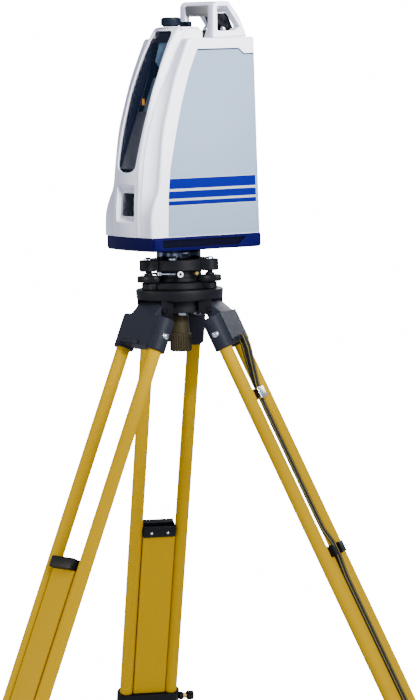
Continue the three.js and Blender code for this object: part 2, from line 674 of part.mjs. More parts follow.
const topCap = () =>
  turned([
    [0, 0], [12, 0], [12, 2.4], [17, 2.4], [17.4, 5], [17.4, 13], [15.8, 15.8], [12, 17], [0, 17],
  ]).translate([0, CAP_Y, HUMP + GAP]);

// A flat cover lying on the recess's slanted floor.
function portCover() {
  const [[y0, z0], [y1, z1]] = RECESS_FLOOR;
  const slope = Math.atan2(y1 - y0, z1 - z0);
  return block([-19, -2.8, -21], [19, 0, 19])
    .rotate([-slope / RAD, 0, 0]).translate([0, (y0 + y1) / 2 - 0.4, (z0 + z1) / 2]);
}

function powerButton() {
  const stud = turned([[0, 0], [6.6, 0], [6.6, 5.6], [5.6, 6.6], [0, 6.6]], 24);
  return stud.rotate([-90, 0, 0]).translate([45, 113.4, 66]);
}

piece("spindle", STEEL, spindle(), scanner);
piece("pan_bearing", STEEL, panBearing(), scanner);
piece("pan_gear", BRASS, panGear(), scanner);
piece("pan_pinion", STEEL, panPinion(), scanner);
piece("base_tray", BLUE, baseTray(), scanner);
piece("housing_right", WHITE, housingHalf(1), scanner);
piece("housing_left", WHITE, housingHalf(-1), scanner);
piece("front_cowl", WHITE, frontCowl(), scanner);
piece("side_panel_right", PANEL, sidePanel(), scanner);
piece("side_panel_left", PANEL, mirrored(sidePanel()), scanner);
piece("window_glass", GLASS, windowGlass(), scanner);
piece("chassis", BLACK, chassis(), scanner);
piece("mirror", STEEL, mirror(), scanner);
piece("mirror_motor", BLACK, mirrorMotor(), scanner);
piece("lidar_module", GRAPHITE, lidarModule(), scanner);
piece("battery", GRAPHITE, battery(), scanner);
piece("handle_frame", WHITE, handleFrame(), scanner);
piece("handle_grip", GRIP, handleGrip(), scanner);
piece("handle_back", BLACK, handleBack(), scanner);
piece("top_cap", BLACK, topCap(), scanner);
piece("port_cover", BLACK, portCover(), scanner);
piece("power_button", BLACK, powerButton(), scanner);

export default group;
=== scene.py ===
"""A terrestrial laser scanner, its tribrach and its tripod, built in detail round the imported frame.

Lengths are in millimetres unless a comment says otherwise, and MM turns them into metres.
"""

import bmesh
import bpy
import json
import math
from mathutils import Matrix, Vector


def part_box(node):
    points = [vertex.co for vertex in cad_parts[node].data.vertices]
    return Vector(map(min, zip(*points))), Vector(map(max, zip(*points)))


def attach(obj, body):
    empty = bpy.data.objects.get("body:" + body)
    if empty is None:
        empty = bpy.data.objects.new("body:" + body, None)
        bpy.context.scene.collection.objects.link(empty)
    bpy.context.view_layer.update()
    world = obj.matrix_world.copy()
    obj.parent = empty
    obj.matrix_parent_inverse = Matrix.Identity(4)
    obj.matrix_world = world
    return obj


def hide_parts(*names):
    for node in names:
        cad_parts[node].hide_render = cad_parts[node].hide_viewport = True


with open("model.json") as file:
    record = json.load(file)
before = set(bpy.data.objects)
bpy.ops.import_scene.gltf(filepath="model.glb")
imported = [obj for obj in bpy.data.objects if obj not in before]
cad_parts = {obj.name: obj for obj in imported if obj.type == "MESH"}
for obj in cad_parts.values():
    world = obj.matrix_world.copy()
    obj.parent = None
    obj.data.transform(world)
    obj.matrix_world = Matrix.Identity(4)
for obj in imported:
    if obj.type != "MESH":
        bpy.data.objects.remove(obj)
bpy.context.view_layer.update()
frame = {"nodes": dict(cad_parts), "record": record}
JOINTS = {j["name"]: j for j in frame["record"]["behaviour"]["joints"]}
MM = 0.001
IDENTITY = Matrix.Identity(4)

# ---------------------------------------------------------------- dimensions
BASE_LOW, BASE_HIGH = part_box("base_tray")
SCANNER = Matrix.Translation((0, 0, BASE_LOW.z))  # the scanner's own frame, from its underside
BASE_HEIGHT = (BASE_HIGH.z - BASE_LOW.z) / MM
HALF_WIDTH = 84.5
REAR_Y = 118
DECK = 366
HUMP = 386
COWL_HALF = 49.7
SHOULDER = 3.5  # radius of the housing's top edge
WALL = 4
GAP = 0.3
LEAN = 6  # how far each side wall leans in by deck height
PANEL_TOP, PANEL_STEP = 345.5, 336  # the side panel's upper edge, and its lower end at the rear
PANEL_REAR = REAR_Y - 2.5
STRIPES = ((0.0792, 0.0866), (0.0907, 0.1033), (0.1077, 0.1251))  # heights of the blue bands, in metres
RECESS_SLOPE = 4.8 / 50  # how far the port's recess leans back, per height
LINING = 35.8  # half the clear width behind the window
HANDLE_INSIDE = 37.2
TUBE_SPACING = 84.5
TUBE_SIDES = (-TUBE_SPACING / 2, TUBE_SPACING / 2)
TUBE_RADIUS = 12
YOKE_AT = (13.5, 73)  # stations down the leg from the hinge
TUBE_HOLE = TUBE_RADIUS + GAP
STRAP_BAR_AT = 66
STRAP_Y = -8  # the strap's middle lies beside the leg's
STRAP_WIDE, STRAP_THICK = 26, 1.6
CAP_AT = (461, 481)
COLLAR_AT = (831, 865)
COLLAR_ROUND = 17
INNER_LEG_AT = (511, 1211)
PANEL_WIDE = TUBE_SPACING - 2 * TUBE_RADIUS - 2 * GAP
LEG_CHANNEL = (13.2, 56.4)  # the opening that the inner leg slides in
HEAD_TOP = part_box("head_plate")[1].z / MM
TOP_PLATE = (HEAD_TOP + 32.5, HEAD_TOP + 52.5)
SCREW_CIRCLE = 62
SCREW_ANGLES = (-90, 30, 150)
SIGHT_TURN = -28.2  # the plummet telescope's direction, in degrees

# Front outlines as (z, y): the cowl beside the window, its edge by the groove, and the side pillar.
COWL_FRONT = [(0, -103), (40, -105), (70, -105), (105, -102), (145, -99.5), (185, -92), (218, -84),
              (245, -76), (273, -67.5), (300, -57), (327, -46), (358, -31), (374, -21), (390, -11)]
GROOVE_FRONT = [(0, -102), (54, -103), (92, -100), (149, -94), (185, -87.5), (220, -78.2), (273, -58.2),
                (310, -40.2), (346, -23.2), (370, -9), (390, 2)]
PILLAR_FRONT = [(0, -100), (60, -99.5), (83, -93.5), (106, -84), (148, -78.5), (205, -70.5), (250, -58.5),
                (295, -44.5), (332, -29.5), (370, -13)]
# The side panel's front edge as (y, z), and the window's edge as (z, half width).
PANEL_FRONT = [(-68, 25), (-66.5, 60), (-65, 95), (-60, 140), (-52, 176), (-43, 215), (-34, 250),
               (-24, 282), (-15, 309), (1, PANEL_TOP)]
WINDOW_EDGE = [(135.6, 5), (136.4, 13), (138, 20), (140.6, 26), (144, 29.6), (148.5, 31.2), (155, 32),
               (180, 34), (215, 36), (260, 37.6), (300, 37.6), (350, 35), (370, 32.6), (376, 30), (379.5, 25)]


# ---------------------------------------------------------------- curves
def curve(pairs):
    """A smooth function through (x, y) pairs, with no overshoot between them."""
    xs, ys = [p[0] for p in pairs], [p[1] for p in pairs]
    slopes = [(ys[i + 1] - ys[i]) / (xs[i + 1] - xs[i]) for i in range(len(xs) - 1)]
    tangents = [slopes[0]]
    for a, b in zip(slopes, slopes[1:]):
        tangents.append(0 if a * b <= 0 else a * b / (a + b) + (a + b) / 4)
    tangents.append(slopes[-1])

    def at(x):
        i = max(0, min(len(xs) - 2, sum(1 for v in xs if v <= x) - 1))
        h = xs[i + 1] - xs[i]
        t = (x - xs[i]) / h
        a, b = (1 + 2 * t) * (1 - t) ** 2, t * (1 - t) ** 2
        c, d = t * t * (3 - 2 * t), t * t * (t - 1)
        return a * ys[i] + b * h * tangents[i] + c * ys[i + 1] + d * h * tangents[i + 1]

    return at


def smoothstep(x, low, high):
    t = max(0, min(1, (x - low) / (high - low)))
    return t * t * (3 - 2 * t)


def mix(a, b, t):
    return a + (b - a) * t


def evenly(low, high, count):
    return [low + (high - low) * i / count for i in range(count + 1)]


def rounded(outline, radius, steps=5):
    """The outline with each corner turned into an arc."""
    points = [Vector(p) for p in outline]
    out = []
    for i, corner in enumerate(points):
        before, after = points[i - 1] - corner, points[(i + 1) % len(points)] - corner
        reach = min(radius, before.length * 0.45, after.length * 0.45)
        a, b = corner + before.normalized() * reach, corner + after.normalized() * reach
        for t in evenly(0, 1, steps):
            out.append(tuple(a * (1 - t) ** 2 + corner * 2 * t * (1 - t) + b * t * t))
    return out


def rectangle(low, high, radius=0):
    corners = [low, (high[0], low[1]), high, (low[0], high[1])]
    return rounded(corners, radius) if radius else corners


def arc(x, y, radius, start, end, steps, rise=None):
    """Points round (x, y) between two angles in degrees; rise is the other radius of an ellipse."""
    angles = [math.radians(a) for a in evenly(start, end, steps)]
    return [(x + radius * math.cos(a), y + (rise or radius) * math.sin(a)) for a in angles]


def circle(radius, count=48, x=0, y=0):
    return arc(x, y, radius, 0, 360, count)[:-1]


def bend(a, b, c, steps):
    """Points of a quadratic curve from a to c, drawn towards b."""
    return [tuple(mix(mix(p, q, t), mix(q, r, t), t) for p, q, r in zip(a, b, c))
            for t in evenly(0, 1, steps)]


def moved(at, x=0, y=0, z=0):
    return at @ Matrix.Translation((x * MM, y * MM, z * MM))


def spun(at, degrees, axis):
    return at @ Matrix.Rotation(math.radians(degrees), 4, axis)


# ---------------------------------------------------------------- meshes
def mesh_object(name, points, faces, at=IDENTITY):
    """A mesh object from points in millimetres, in the frame given by at."""
    mesh = bpy.data.meshes.new(name)
    mesh.from_pydata([tuple(c * MM for c in p) for p in points], [], faces)
    mesh.update()
    obj = bpy.data.objects.new(name, mesh)
    bpy.context.collection.objects.link(obj)
    obj.matrix_world = at
    return obj


def loft(name, rings, at=IDENTITY):
    """A closed skin over rings of points, with a face over the first ring and the last."""
    n, count = len(rings[0]), len(rings)
    faces = []
    for a in range(0, (count - 1) * n, n):
        b = a + n
        faces += [(a + i, a + (i + 1) % n, b + (i + 1) % n, b + i) for i in range(n)]
    faces += [tuple(reversed(range(n))), tuple(range((count - 1) * n, count * n))]
    return outward(mesh_object(name, [p for ring in rings for p in ring], faces, at))


def outward(obj):
    """Turns every face of a closed mesh to face out."""
    bm = bmesh.new()
    bm.from_mesh(obj.data)
    bmesh.ops.remove_doubles(bm, verts=bm.verts, dist=1e-7)
    bmesh.ops.recalc_face_normals(bm, faces=bm.faces)
    bm.to_mesh(obj.data)
    bm.free()
    return obj


def turned(name, profile, at=IDENTITY, steps=64, ripple=None):
    """A body of revolution about Z from (radius, z) pairs; ripple(radius, z, angle) gives a new radius."""
    rings = []
    for i in range(steps):
        angle = 2 * math.pi * i / steps
        ring = []
        for r, z in profile:
            radius = ripple(r, z, angle) if ripple else r
            ring.append((radius * math.cos(angle), radius * math.sin(angle), z))
        rings.append(ring)
    n = len(profile)
    faces = []
    for k in range(steps):
        a, b = k * n, ((k + 1) % steps) * n
        faces += [(a + i, b + i, b + i + 1, a + i + 1) for i in range(n - 1)]
        if profile[0] != profile[-1] and (profile[0][0] or profile[-1][0]):
            faces.append((a + n - 1, b + n - 1, b, a))
    return outward(mesh_object(name, [p for ring in rings for p in ring], faces, at))


def rod(name, radius, low, high, at=IDENTITY, steps=64):
    return turned(name, [(0, low), (radius, low), (radius, high), (0, high)], at, steps)


def ridges(depth, count, low, high, radius):
    """A ripple of upright ridges between two heights, on what lies outside a radius."""
    return lambda r, z, a: r - (depth * (1 + math.cos(count * a)) if low < z < high and r > radius else 0)


def inset(outline, depth):
    """The outline with every side moved in by depth."""
    points = [Vector(p) for p in outline]
    area = sum(a.x * b.y - b.x * a.y for a, b in zip(points, points[1:] + points[:1]))
    turn = 1 if area > 0 else -1
    out = []
    for i, corner in enumerate(points):
        before = (corner - points[i - 1]).normalized()
        after = (points[(i + 1) % len(points)] - corner).normalized()
        a, b = Vector((-before.y, before.x)) * turn, Vector((-after.y, after.x)) * turn
        middle = (a + b).normalized()
        out.append(corner + middle * depth / max(0.35, middle.dot(a)))
    return out


def prism(name, outline, low, high, axis="z", at=IDENTITY, holes=(), edge=0.0):
    """An outline extruded along an axis, with its long edges rounded by edge."""
    place = {"z": lambda u, v, w: (u, v, w), "x": lambda u, v, w: (w, u, v),
             "y": lambda u, v, w: (u, w, v)}[axis]
    levels = [(low, 0), (high, 0)]
    if edge:
        slope = [(edge - w, edge - d) for w, d in arc(0, 0, edge, 0, 90, 3)]
        levels = [(low + w, d) for w, d in slope] + [(high - w, d) for w, d in reversed(slope)]
    body = loft(name, [[place(u, v, w) for u, v in inset(outline, d)] for w, d in levels], at)
    cutters = [prism("hole", hole, low - 5, high + 5, axis, at) for hole in holes]
    return cut(body, *cutters) if cutters else body


def block(name, low, high, at=IDENTITY, edge=0.0, corner=0.0, axis="z"):
    """A block between two corners, with rounded edges along one axis and at its ends."""
    u, v, w = {"z": (0, 1, 2), "x": (1, 2, 0), "y": (0, 2, 1)}[axis]
    outline = rectangle((low[u], low[v]), (high[u], high[v]), corner)
    return prism(name, outline, low[w], high[w], axis, at, edge=edge)


def applied(obj):
    """Bakes an object's modifiers into its mesh."""
    bpy.context.view_layer.update()
    mesh = bpy.data.meshes.new_from_object(obj.evaluated_get(bpy.context.evaluated_depsgraph_get()))
    obj.modifiers.clear()
    obj.data = mesh
    return obj


def boolean(obj, others, operation):
    for other in others:
        step = obj.modifiers.new("cut", "BOOLEAN")
        step.object, step.operation, step.solver = other, operation, "MANIFOLD"
    applied(obj)
    for other in others:
        bpy.data.objects.remove(other)
    return obj


def cut(obj, *others):
    return boolean(obj, others, "DIFFERENCE")


def join(obj, *others):
    return boolean(obj, others, "UNION")


def common(obj, *others):
    return boolean(obj, others, "INTERSECT")


def shaded(obj, angle=32):
    obj.data.polygons.foreach_set("use_smooth", [True] * len(obj.data.polygons))
    obj.data.set_sharp_from_angle(angle=math.radians(angle))
    return obj


def squared(obj):
    """Moves an object's placement into its mesh, so that its box lies along the frame's axes."""
    obj.data.transform(obj.matrix_world)
    obj.matrix_world = IDENTITY
    return obj


def mirror_x(obj, name):
    """A copy of an object mirrored across the scanner's middle plane."""
    twin = obj.copy()
    twin.data = obj.data.copy()
    twin.name = name
    bpy.context.collection.objects.link(twin)
    twin.data.transform(Matrix.Scale(-1, 4, (1, 0, 0)))
    return outward(twin)


def piece(obj, material, body, slot, *stands_for, angle=32):
    """Gives a finished mesh its material, and hangs it on its body."""
    shaded(obj, angle)
    obj.data.materials.clear()
    obj.data.materials.append(material)
    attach(obj, body)
    if stands_for:
        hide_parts(*stands_for)
    return obj


def dome_bolt(name, at, radius=5.2):
    """A domed bolt head with a cross recess, facing along the frame's z."""
    profile = [(0, -1.5), (radius * 1.25, -1.5), (radius * 1.25, -0.4), (radius, 0), (radius, 1)]
    head = turned(name, profile + arc(0, 1, radius, 15, 90, 6, 2.6), at, 32)
    reach = radius * 0.55
    return cut(head, *[block("bar", (-reach, -0.6, 2.2), (reach, 0.6, 6), at @ Matrix.Rotation(a, 4, "Z"))
                       for a in (0.3, 0.3 + math.pi / 2)])


# ---------------------------------------------------------------- materials
class Finish:
    """A procedural material around one Principled shader, in the piece's own coordinates."""

    def __init__(self, name, color, roughness, metallic=0.0, **values):
        self.material = bpy.data.materials.new(name)
        self.material.use_nodes = True
        self.nodes, self.links = self.material.node_tree.nodes, self.material.node_tree.links
        self.shader = self.nodes["Principled BSDF"]
        self.shader.inputs["Base Color"].default_value = (*color, 1)
        self.shader.inputs["Roughness"].default_value = roughness
        self.shader.inputs["Metallic"].default_value = metallic
        for key, value in values.items():
            self.shader.inputs[key.replace("_", " ")].default_value = value
        self.place = self.nodes.new("ShaderNodeTexCoord").outputs["Object"]
        self.height = None

    def node(self, kind, **inputs):
        made = self.nodes.new(kind)
        for key, value in inputs.items():
            target = made.inputs[key.replace("_", " ")]
            if isinstance(value, bpy.types.NodeSocket):
                self.links.new(value, target)
            else:
                target.default_value = value
        return made

    def stretched(self, scale):
        return self.node("ShaderNodeMapping", Vector=self.place, Scale=scale).outputs["Vector"]

    def noise(self, scale, detail=3.0, stretch=(1, 1, 1)):
        vector = self.place if stretch == (1, 1, 1) else self.stretched(stretch)
        return self.node("ShaderNodeTexNoise", Vector=vector, Scale=scale, Detail=detail).outputs["Fac"]

    def remap(self, value, low, high, to_low=0.0, to_high=1.0):
        made = self.node("ShaderNodeMapRange", Value=value)
        for key, number in (("From Min", low), ("From Max", high), ("To Min", to_low), ("To Max", to_high)):
            made.inputs[key].default_value = number
        return made.outputs["Result"]

    def math(self, operation, a, b=0.0):
        made = self.nodes.new("ShaderNodeMath")
        made.operation = operation
        for target, value in zip(made.inputs, (a, b)):
            if isinstance(value, bpy.types.NodeSocket):
                self.links.new(value, target)
            else:
                target.default_value = value
        return made.outputs["Value"]

    def tint(self, factor, color):
        """Blends the base colour towards another where factor is 1."""
        made = self.nodes.new("ShaderNodeMix")
        made.data_type = "RGBA"
        base = self.shader.inputs["Base Color"]
        first, second = [socket for socket in made.inputs if socket.type == "RGBA"]
        if base.is_linked:
            self.links.new(base.links[0].from_socket, first)
        else:
            first.default_value = base.default_value
        second.default_value = (*color, 1)
        self.links.new(factor, made.inputs["Factor"])
        self.links.new(next(socket for socket in made.outputs if socket.type == "RGBA"), base)
        return self

    def patches(self, color, scale, low, high, most, **look):
        """Soft patches of another colour, from noise between low and high."""
        return self.tint(self.remap(self.noise(scale, **look), low, high, 0, most), color)

    def times(self, a, b):
        return self.math("MULTIPLY", a, b)

    def between(self, value, low, high):
        return self.times(self.math("GREATER_THAN", value, low), self.math("LESS_THAN", value, high))

    def rough(self, factor, low, high):
        self.links.new(self.remap(factor, 0.3, 0.7, low, high), self.shader.inputs["Roughness"])
        return self

    def bump(self, height, strength, distance):
        """Adds a layer of relief; distance is in metres."""
        made = self.node("ShaderNodeBump", Height=height, Strength=strength, Distance=distance)
        if self.height:
            self.links.new(self.height, made.inputs["Normal"])
        self.height = made.outputs["Normal"]
        self.links.new(self.height, self.shader.inputs["Normal"])
        return self

    def axis(self, name):
        return self.node("ShaderNodeSeparateXYZ", Vector=self.place).outputs[name]


def coat(name, color, other, roughness, spots, gloss=None, relief=None, **values):
    """One colour with soft patches of another, an uneven gloss and a fine relief.

    spots is (scale, low, high, most), gloss is (scale, least, most roughness), and relief is
    (scale, detail, strength, distance in metres).
    """
    f = Finish(name, color, roughness, **values)
    f.patches(other, *spots)
    if gloss:
        f.rough(f.noise(gloss[0]), *gloss[1:])
    if relief:
        f.bump(f.noise(*relief[:2]), *relief[2:])
    return f.material


def satin_black(name="satin_black", color=(0.004, 0.0043, 0.0055), roughness=0.42):
    return coat(name, color, tuple(c * 1.4 for c in color), roughness, (70, 0.4, 0.7, 0.5),
                (260, roughness - 0.05, roughness + 0.08), (1600, 2, 0.1, 0.0002), Specular_IOR_Level=0.13)


def matt(name, color, other, roughness=0.5, **values):
    return coat(name, color, other, roughness, (30, 0.3, 0.7, 0.6), None, (1000, 3, 0.15, 0.0003), **values)


def panel_paint():
    """Light blue-grey textured paint, with three plain blue bands across the lower part."""
    f = Finish("panel_paint", (0.19, 0.255, 0.335), 0.55, Specular_IOR_Level=0.04)
    f.patches((0.172, 0.233, 0.308), 900, 0.35, 0.65, 0.35, detail=2)
    f.patches((0.205, 0.272, 0.352), 14, 0.3, 0.7, 0.3)
    height = f.axis("Z")
    short = f.math("LESS_THAN", f.axis("Y"), 0.111)
    f.tint(f.times(f.between(height, 0.078, 0.1262), short), (0.33, 0.35, 0.33))
    lowest, middle, highest = (f.between(height, *stripe) for stripe in STRIPES)
    bands = f.math("ADD", f.math("ADD", lowest, middle), highest)
    f.tint(f.times(bands, short), (0.0, 0.003, 0.115))
    f.rough(f.noise(300), 0.46, 0.56)
    return f.bump(f.noise(1400, 1), 0.2, 0.0002).material


def base_blue():
    """Deep blue casting, with painted shade making it nearly black in the slot along each side."""
    f = Finish("base_blue", (0.002, 0.0006, 0.039), 0.4, Specular_IOR_Level=0.06)
    f.patches((0.0022, 0.0007, 0.043), 30, 0.4, 0.7, 0.3)
    # Painted shade: near-black navy on every face within 81.5 mm of the middle across and 98 mm along, above
    # 4 mm, which covers the floors of the side slots.
    inside = f.times(f.between(f.axis("X"), -0.0815, 0.0815), f.between(f.axis("Y"), -0.098, 0.098))
    f.tint(f.times(inside, f.math("GREATER_THAN", f.axis("Z"), 0.004)), (0.0005, 0.0006, 0.007))
    f.rough(f.noise(500), 0.38, 0.42)
    return f.bump(f.noise(1400, 2), 0.03, 0.0002).material


def tripod_yellow():
    f = Finish("tripod_yellow", (0.5, 0.295, 0.0), 0.45, Specular_IOR_Level=0.03)
    f.patches((0.48, 0.275, 0.0), 12, 0.4, 0.75, 0.4)
    f.patches((0.46, 0.245, 0.002), 90, 0.6, 0.8, 0.15, detail=4, stretch=(3, 3, 0.15))
    f.rough(f.noise(150, 3, (3, 3, 0.3)), 0.4, 0.5)
    return f.bump(f.noise(420, 2, (3, 3, 0.1)), 0.05, 0.0003).material


def chrome(name="chrome", color=(0.72, 0.74, 0.78), roughness=0.12):
    f = Finish(name, color, roughness, 1.0)
    f.patches(tuple(c * 0.75 for c in color), 300, 0.5, 0.75, 0.4)
    f.rough(f.noise(500, 4), roughness * 0.8, roughness * 1.9)
    return f.bump(f.noise(2500, 2), 0.06, 0.0001).material


def brushed(name, color, roughness=0.3, stretch=(1, 1, 40)):
    f = Finish(name, color, roughness, 1.0)
    streaks = f.noise(160, 4, stretch)
    f.tint(f.remap(streaks, 0.4, 0.7, 0, 0.5), tuple(c * 0.6 for c in color))
    f.rough(streaks, roughness - 0.08, roughness + 0.14)
    return f.bump(streaks, 0.12, 0.0001).material


def steel_painted_reflection():
    """Polished steel with its reflection painted in: a dark colour with bright upright streaks as painted
    highlights.
    """
    f = Finish("steel_painted_reflection", (0.02, 0.024, 0.035), 0.12, 1.0)
    # Painted reflection: bright upright streaks blended into the dark colour.
    f.tint(f.remap(f.noise(55, 2, (1, 1, 0.05)), 0.5, 0.6), (0.42, 0.46, 0.55))
    return f.rough(f.noise(300), 0.08, 0.2).material


def webbing():
    """Black woven strap: a fine twill, with two lines of yellow stitches along it."""
    f = Finish("webbing", (0.008, 0.008, 0.008), 0.85, Specular_IOR_Level=0.2)
    across, along = f.math("SUBTRACT", f.axis("Y"), STRAP_Y * MM), f.axis("Z")
    twill = f.math("ADD", along, f.times(across, 0.6))
    rib, rows = f.math("SINE", f.times(twill, 3600)), f.math("SINE", f.times(across, 4200))
    weave = f.times(f.math("ADD", rib, rows), 0.25)
    f.tint(f.remap(weave, 0.1, 0.5, 0, 0.8), (0.02, 0.019, 0.017))
    f.tint(f.between(f.math("ABSOLUTE", across), 0.0072, 0.0092), (0.36, 0.27, 0.01))
    return f.bump(weave, 0.6, 0.0004).material


def ribbed_teal():
    """The receiver's front: pale teal with fine level ribs."""
    f = Finish("ribbed_teal", (0.34, 0.56, 0.62), 0.3, Specular_IOR_Level=0.3)
    ribs = f.math("SINE", f.times(f.axis("Z"), 2600))
    f.tint(f.remap(ribs, -0.4, 0.6), (0.55, 0.75, 0.78))
    f.patches((0.3, 0.5, 0.58), 70, 0.4, 0.7, 0.5)
    return f.bump(ribs, 0.3, 0.0004).material


WHITE = coat("shell_white", (0.79, 0.79, 0.87), (0.76, 0.765, 0.85), 0.36, (9, 0.35, 0.7, 0.3),
             (60, 0.32, 0.42), (1500, 2, 0.06, 0.0002), Specular_IOR_Level=0.35)
GLASS = coat("tinted_glass", (0.004, 0.008, 0.02), (0.006, 0.011, 0.03), 0.05, (8, 0.4, 0.7, 0.3),
             None, (25, 1, 0.01, 0.0005), Alpha=0.3, IOR=1.45, Specular_IOR_Level=0.06)
GLOSS = coat("gloss_black", (0.003, 0.005, 0.01), (0.006, 0.009, 0.018), 0.2, (40, 0.4, 0.7, 0.4),
             (200, 0.14, 0.24), Specular_IOR_Level=0.08)
GRAPHITE = coat("yoke_plastic", (0.0135, 0.0155, 0.0225), (0.0155, 0.018, 0.0255), 0.58,
                (40, 0.35, 0.7, 0.3), (180, 0.46, 0.56), (1300, 3, 0.1, 0.0002), Specular_IOR_Level=0.1)
OLIVE = coat("olive_plastic", (0.036, 0.029, 0.013), (0.037, 0.030, 0.017), 0.55, (60, 0.4, 0.7, 0.4),
             (300, 0.5, 0.62), (1400, 3, 0.1, 0.0002), Specular_IOR_Level=0.12)
GRIP = coat("grip_rubber", (0.2, 0.195, 0.178), (0.17, 0.165, 0.15), 0.6, (50, 0.4, 0.7, 0.5),
            (200, 0.55, 0.7), (900, 3, 0.25, 0.0003), Specular_IOR_Level=0.2)
TEAL = coat("teal_glass", (0.32, 0.58, 0.72), (0.38, 0.65, 0.78), 0.1, (18, 0.35, 0.7, 0.7),
            (60, 0.08, 0.16), Specular_IOR_Level=0.3)
PANEL, BLUE, YELLOW, WEB, RIBBED = panel_paint(), base_blue(), tripod_yellow(), webbing(), ribbed_teal()
BLACK, IRON = satin_black(), satin_black("foot_iron", (0.022, 0.024, 0.03), 0.5)
CHROME, BRASS = chrome(), chrome("brass", (0.56, 0.38, 0.12), 0.28)
STEEL, SPINDLE = brushed("turned_steel", (0.5, 0.52, 0.56)), steel_painted_reflection()
DIM = brushed("mirror_steel", (0.05, 0.07, 0.1), 0.12, (1, 1, 1))
TRAP = matt("trap_black", (0.006, 0.009, 0.02), (0.003, 0.005, 0.012))
NAVY = matt("trap_navy", (0.004, 0.009, 0.026), (0.0035, 0.008, 0.022), Specular_IOR_Level=0.1)
RAMP = matt("ramp_grey", (0.30, 0.29, 0.295), (0.27, 0.262, 0.267), 0.45, Specular_IOR_Level=0.2)
SEAM = matt("dark_seam", (0.006, 0.007, 0.028), (0.008, 0.009, 0.035), Specular_IOR_Level=0.2)
# Amber for a small part behind the window. Its emission is a painted glint.
AMBER = matt("amber_part_painted_glint", (0.9, 0.32, 0.01), (0.8, 0.26, 0.01), 0.3, Emission_Color=(1, 0.36, 0.02, 1),
             Emission_Strength=1.2)
VIAL = matt("green_vial", (0.25, 0.42, 0.12), (0.3, 0.48, 0.14), 0.08)

# ---------------------------------------------------------------- scanner shell
cowl_front, groove_front, pillar_front = curve(COWL_FRONT), curve(GROOVE_FRONT), curve(PILLAR_FRONT)


def lean(z):
    return LEAN * (z - BASE_HEIGHT) / (DECK - BASE_HEIGHT)


def housing_ring(z, inset, drop, inner):
    """The right half's outline at height z, from the middle of the front to the middle of the rear."""
    half, rear = HALF_WIDTH - lean(z) - inset - drop, REAR_Y - inset - drop
    groove, pillar = groove_front(z) + inset + drop, pillar_front(z) + inset + drop
    scoop = [(mix(50, half - 6.5, t), mix(pillar - 0.5, groove, (1 - t) ** 2.1))
             for t in evenly(0, 0.96, 12)]
    corner = bend((half - 5.5, pillar - 0.4), (half - 0.3, pillar + 0.2), (half, pillar + 5), 8)
    back = bend((half, rear - 5), (half, rear), (half - 5, rear), 6)
    side = [(half, mix(pillar + 5, rear - 5, t)) for t in (0.25, 0.5, 0.75)]
    return [(x, y, z) for x, y in [(inner, groove), *scoop, *corner, *side, *back, (inner, rear)]]


def housing_block(name, inset, bottom, inner):
    """A half of the housing as a solid, pulled in by inset, with a rounded shoulder at the deck."""
    rings = [housing_ring(z, inset, 0, inner) for z in evenly(bottom, DECK - SHOULDER - inset, 70)]
    for angle in evenly(15, 90, 5):
        turn = math.radians(angle)
        rise, drop = SHOULDER * math.sin(turn), SHOULDER * (1 - math.cos(turn))
        rings.append(housing_ring(DECK - SHOULDER - inset + rise, inset, drop, inner))
    return loft(name, rings, SCANNER)


def panel_outline(gap):
    """The side panel's outline as (y, z), drawn in by gap."""
    low, rear = BASE_HEIGHT + 1 + gap, PANEL_REAR - gap
    front = [(y + gap, max(z, low)) for y, z in PANEL_FRONT[:-1]]
    top = [(PANEL_FRONT[-1][0] + gap, PANEL_TOP - gap), (84, PANEL_TOP - gap), (95, PANEL_STEP - gap)]
    return [*front, *top, (rear, PANEL_STEP - gap), (rear, low)]


def housing_half():
    shell = housing_block("housing_right_shell", 0, BASE_HEIGHT + GAP, GAP / 2)
    hollow = housing_block("hollow", WALL, 10, -5)
    strip = block("strip", (-5, -130, 0), (50, 30.3, 400), SCANNER)
    pocket = prism("pocket", panel_outline(-0.4), 60, 110, "x", SCANNER)
    kept = housing_block("kept", 1.2, 0, -5)
    cut(pocket, kept)
    return cut(shell, hollow, strip, pocket)


def side_panel():
    skin = housing_block("side_panel_right_skin", 0.25, BASE_HEIGHT + GAP, 40)
    core = housing_block("core", 2.2, 0, 30)
    cut(skin, core)
    return common(skin, prism("outline", panel_outline(0.3), 60, 110, "x", SCANNER))


def cowl_ring(x, shift=(0, 0)):
    """The cowl's outline in a plane of constant x, from the foot up the face and over the hump."""
    out = abs(x)
    edge = smoothstep(out, 40, COWL_HALF - 0.5)
    bow = 2.6 * max(0, 1 - (out / 36) ** 2)
    top = HUMP - 4 * edge ** 2
    face = [(mix(cowl_front(z), groove_front(z), edge) - bow, z)
            for z in evenly(BASE_HEIGHT + GAP, top - 6, 96)]
    y0, z0 = face[-1]
    crest = bend((y0, z0), (y0 + 4.5, top), (y0 + 13, top), 7)[1:]
    back = bend((22, top), (29.5, top), (30, top - 9), 6)
    outline = [*face, *crest, *back, (30, DECK - 2), (30, BASE_HEIGHT + GAP)]
    return [(x, y + shift[0], z + shift[1]) for y, z in outline]


def cowl_block(name, shift=(0, 0), half=COWL_HALF):
    places = [half * math.sin(math.radians(a)) for a in evenly(-90, 90, 44)]
    return loft(name, [cowl_ring(x, shift) for x in places], SCANNER)


def window_outline(gap):
    right = [(half - gap, z + gap if z < 250 else z - gap) for z, half in WINDOW_EDGE]
    return right + [(-x, z) for x, z in reversed(right)]


def recess_floor(z):
    return -98.4 + (z - 56) * RECESS_SLOPE


def recess_cutter():
    """The slanted pocket under the window, from a wide mouth to a smaller floor."""
    mouth, floor = rectangle((-36, 45), (36, 124), 3), rectangle((-25, 56), (25, 106), 3)
    rings = [[(x, -112, z) for x, z in mouth], [(x, recess_floor(z), z) for x, z in floor]]
    return loft("recess", rings, SCANNER)


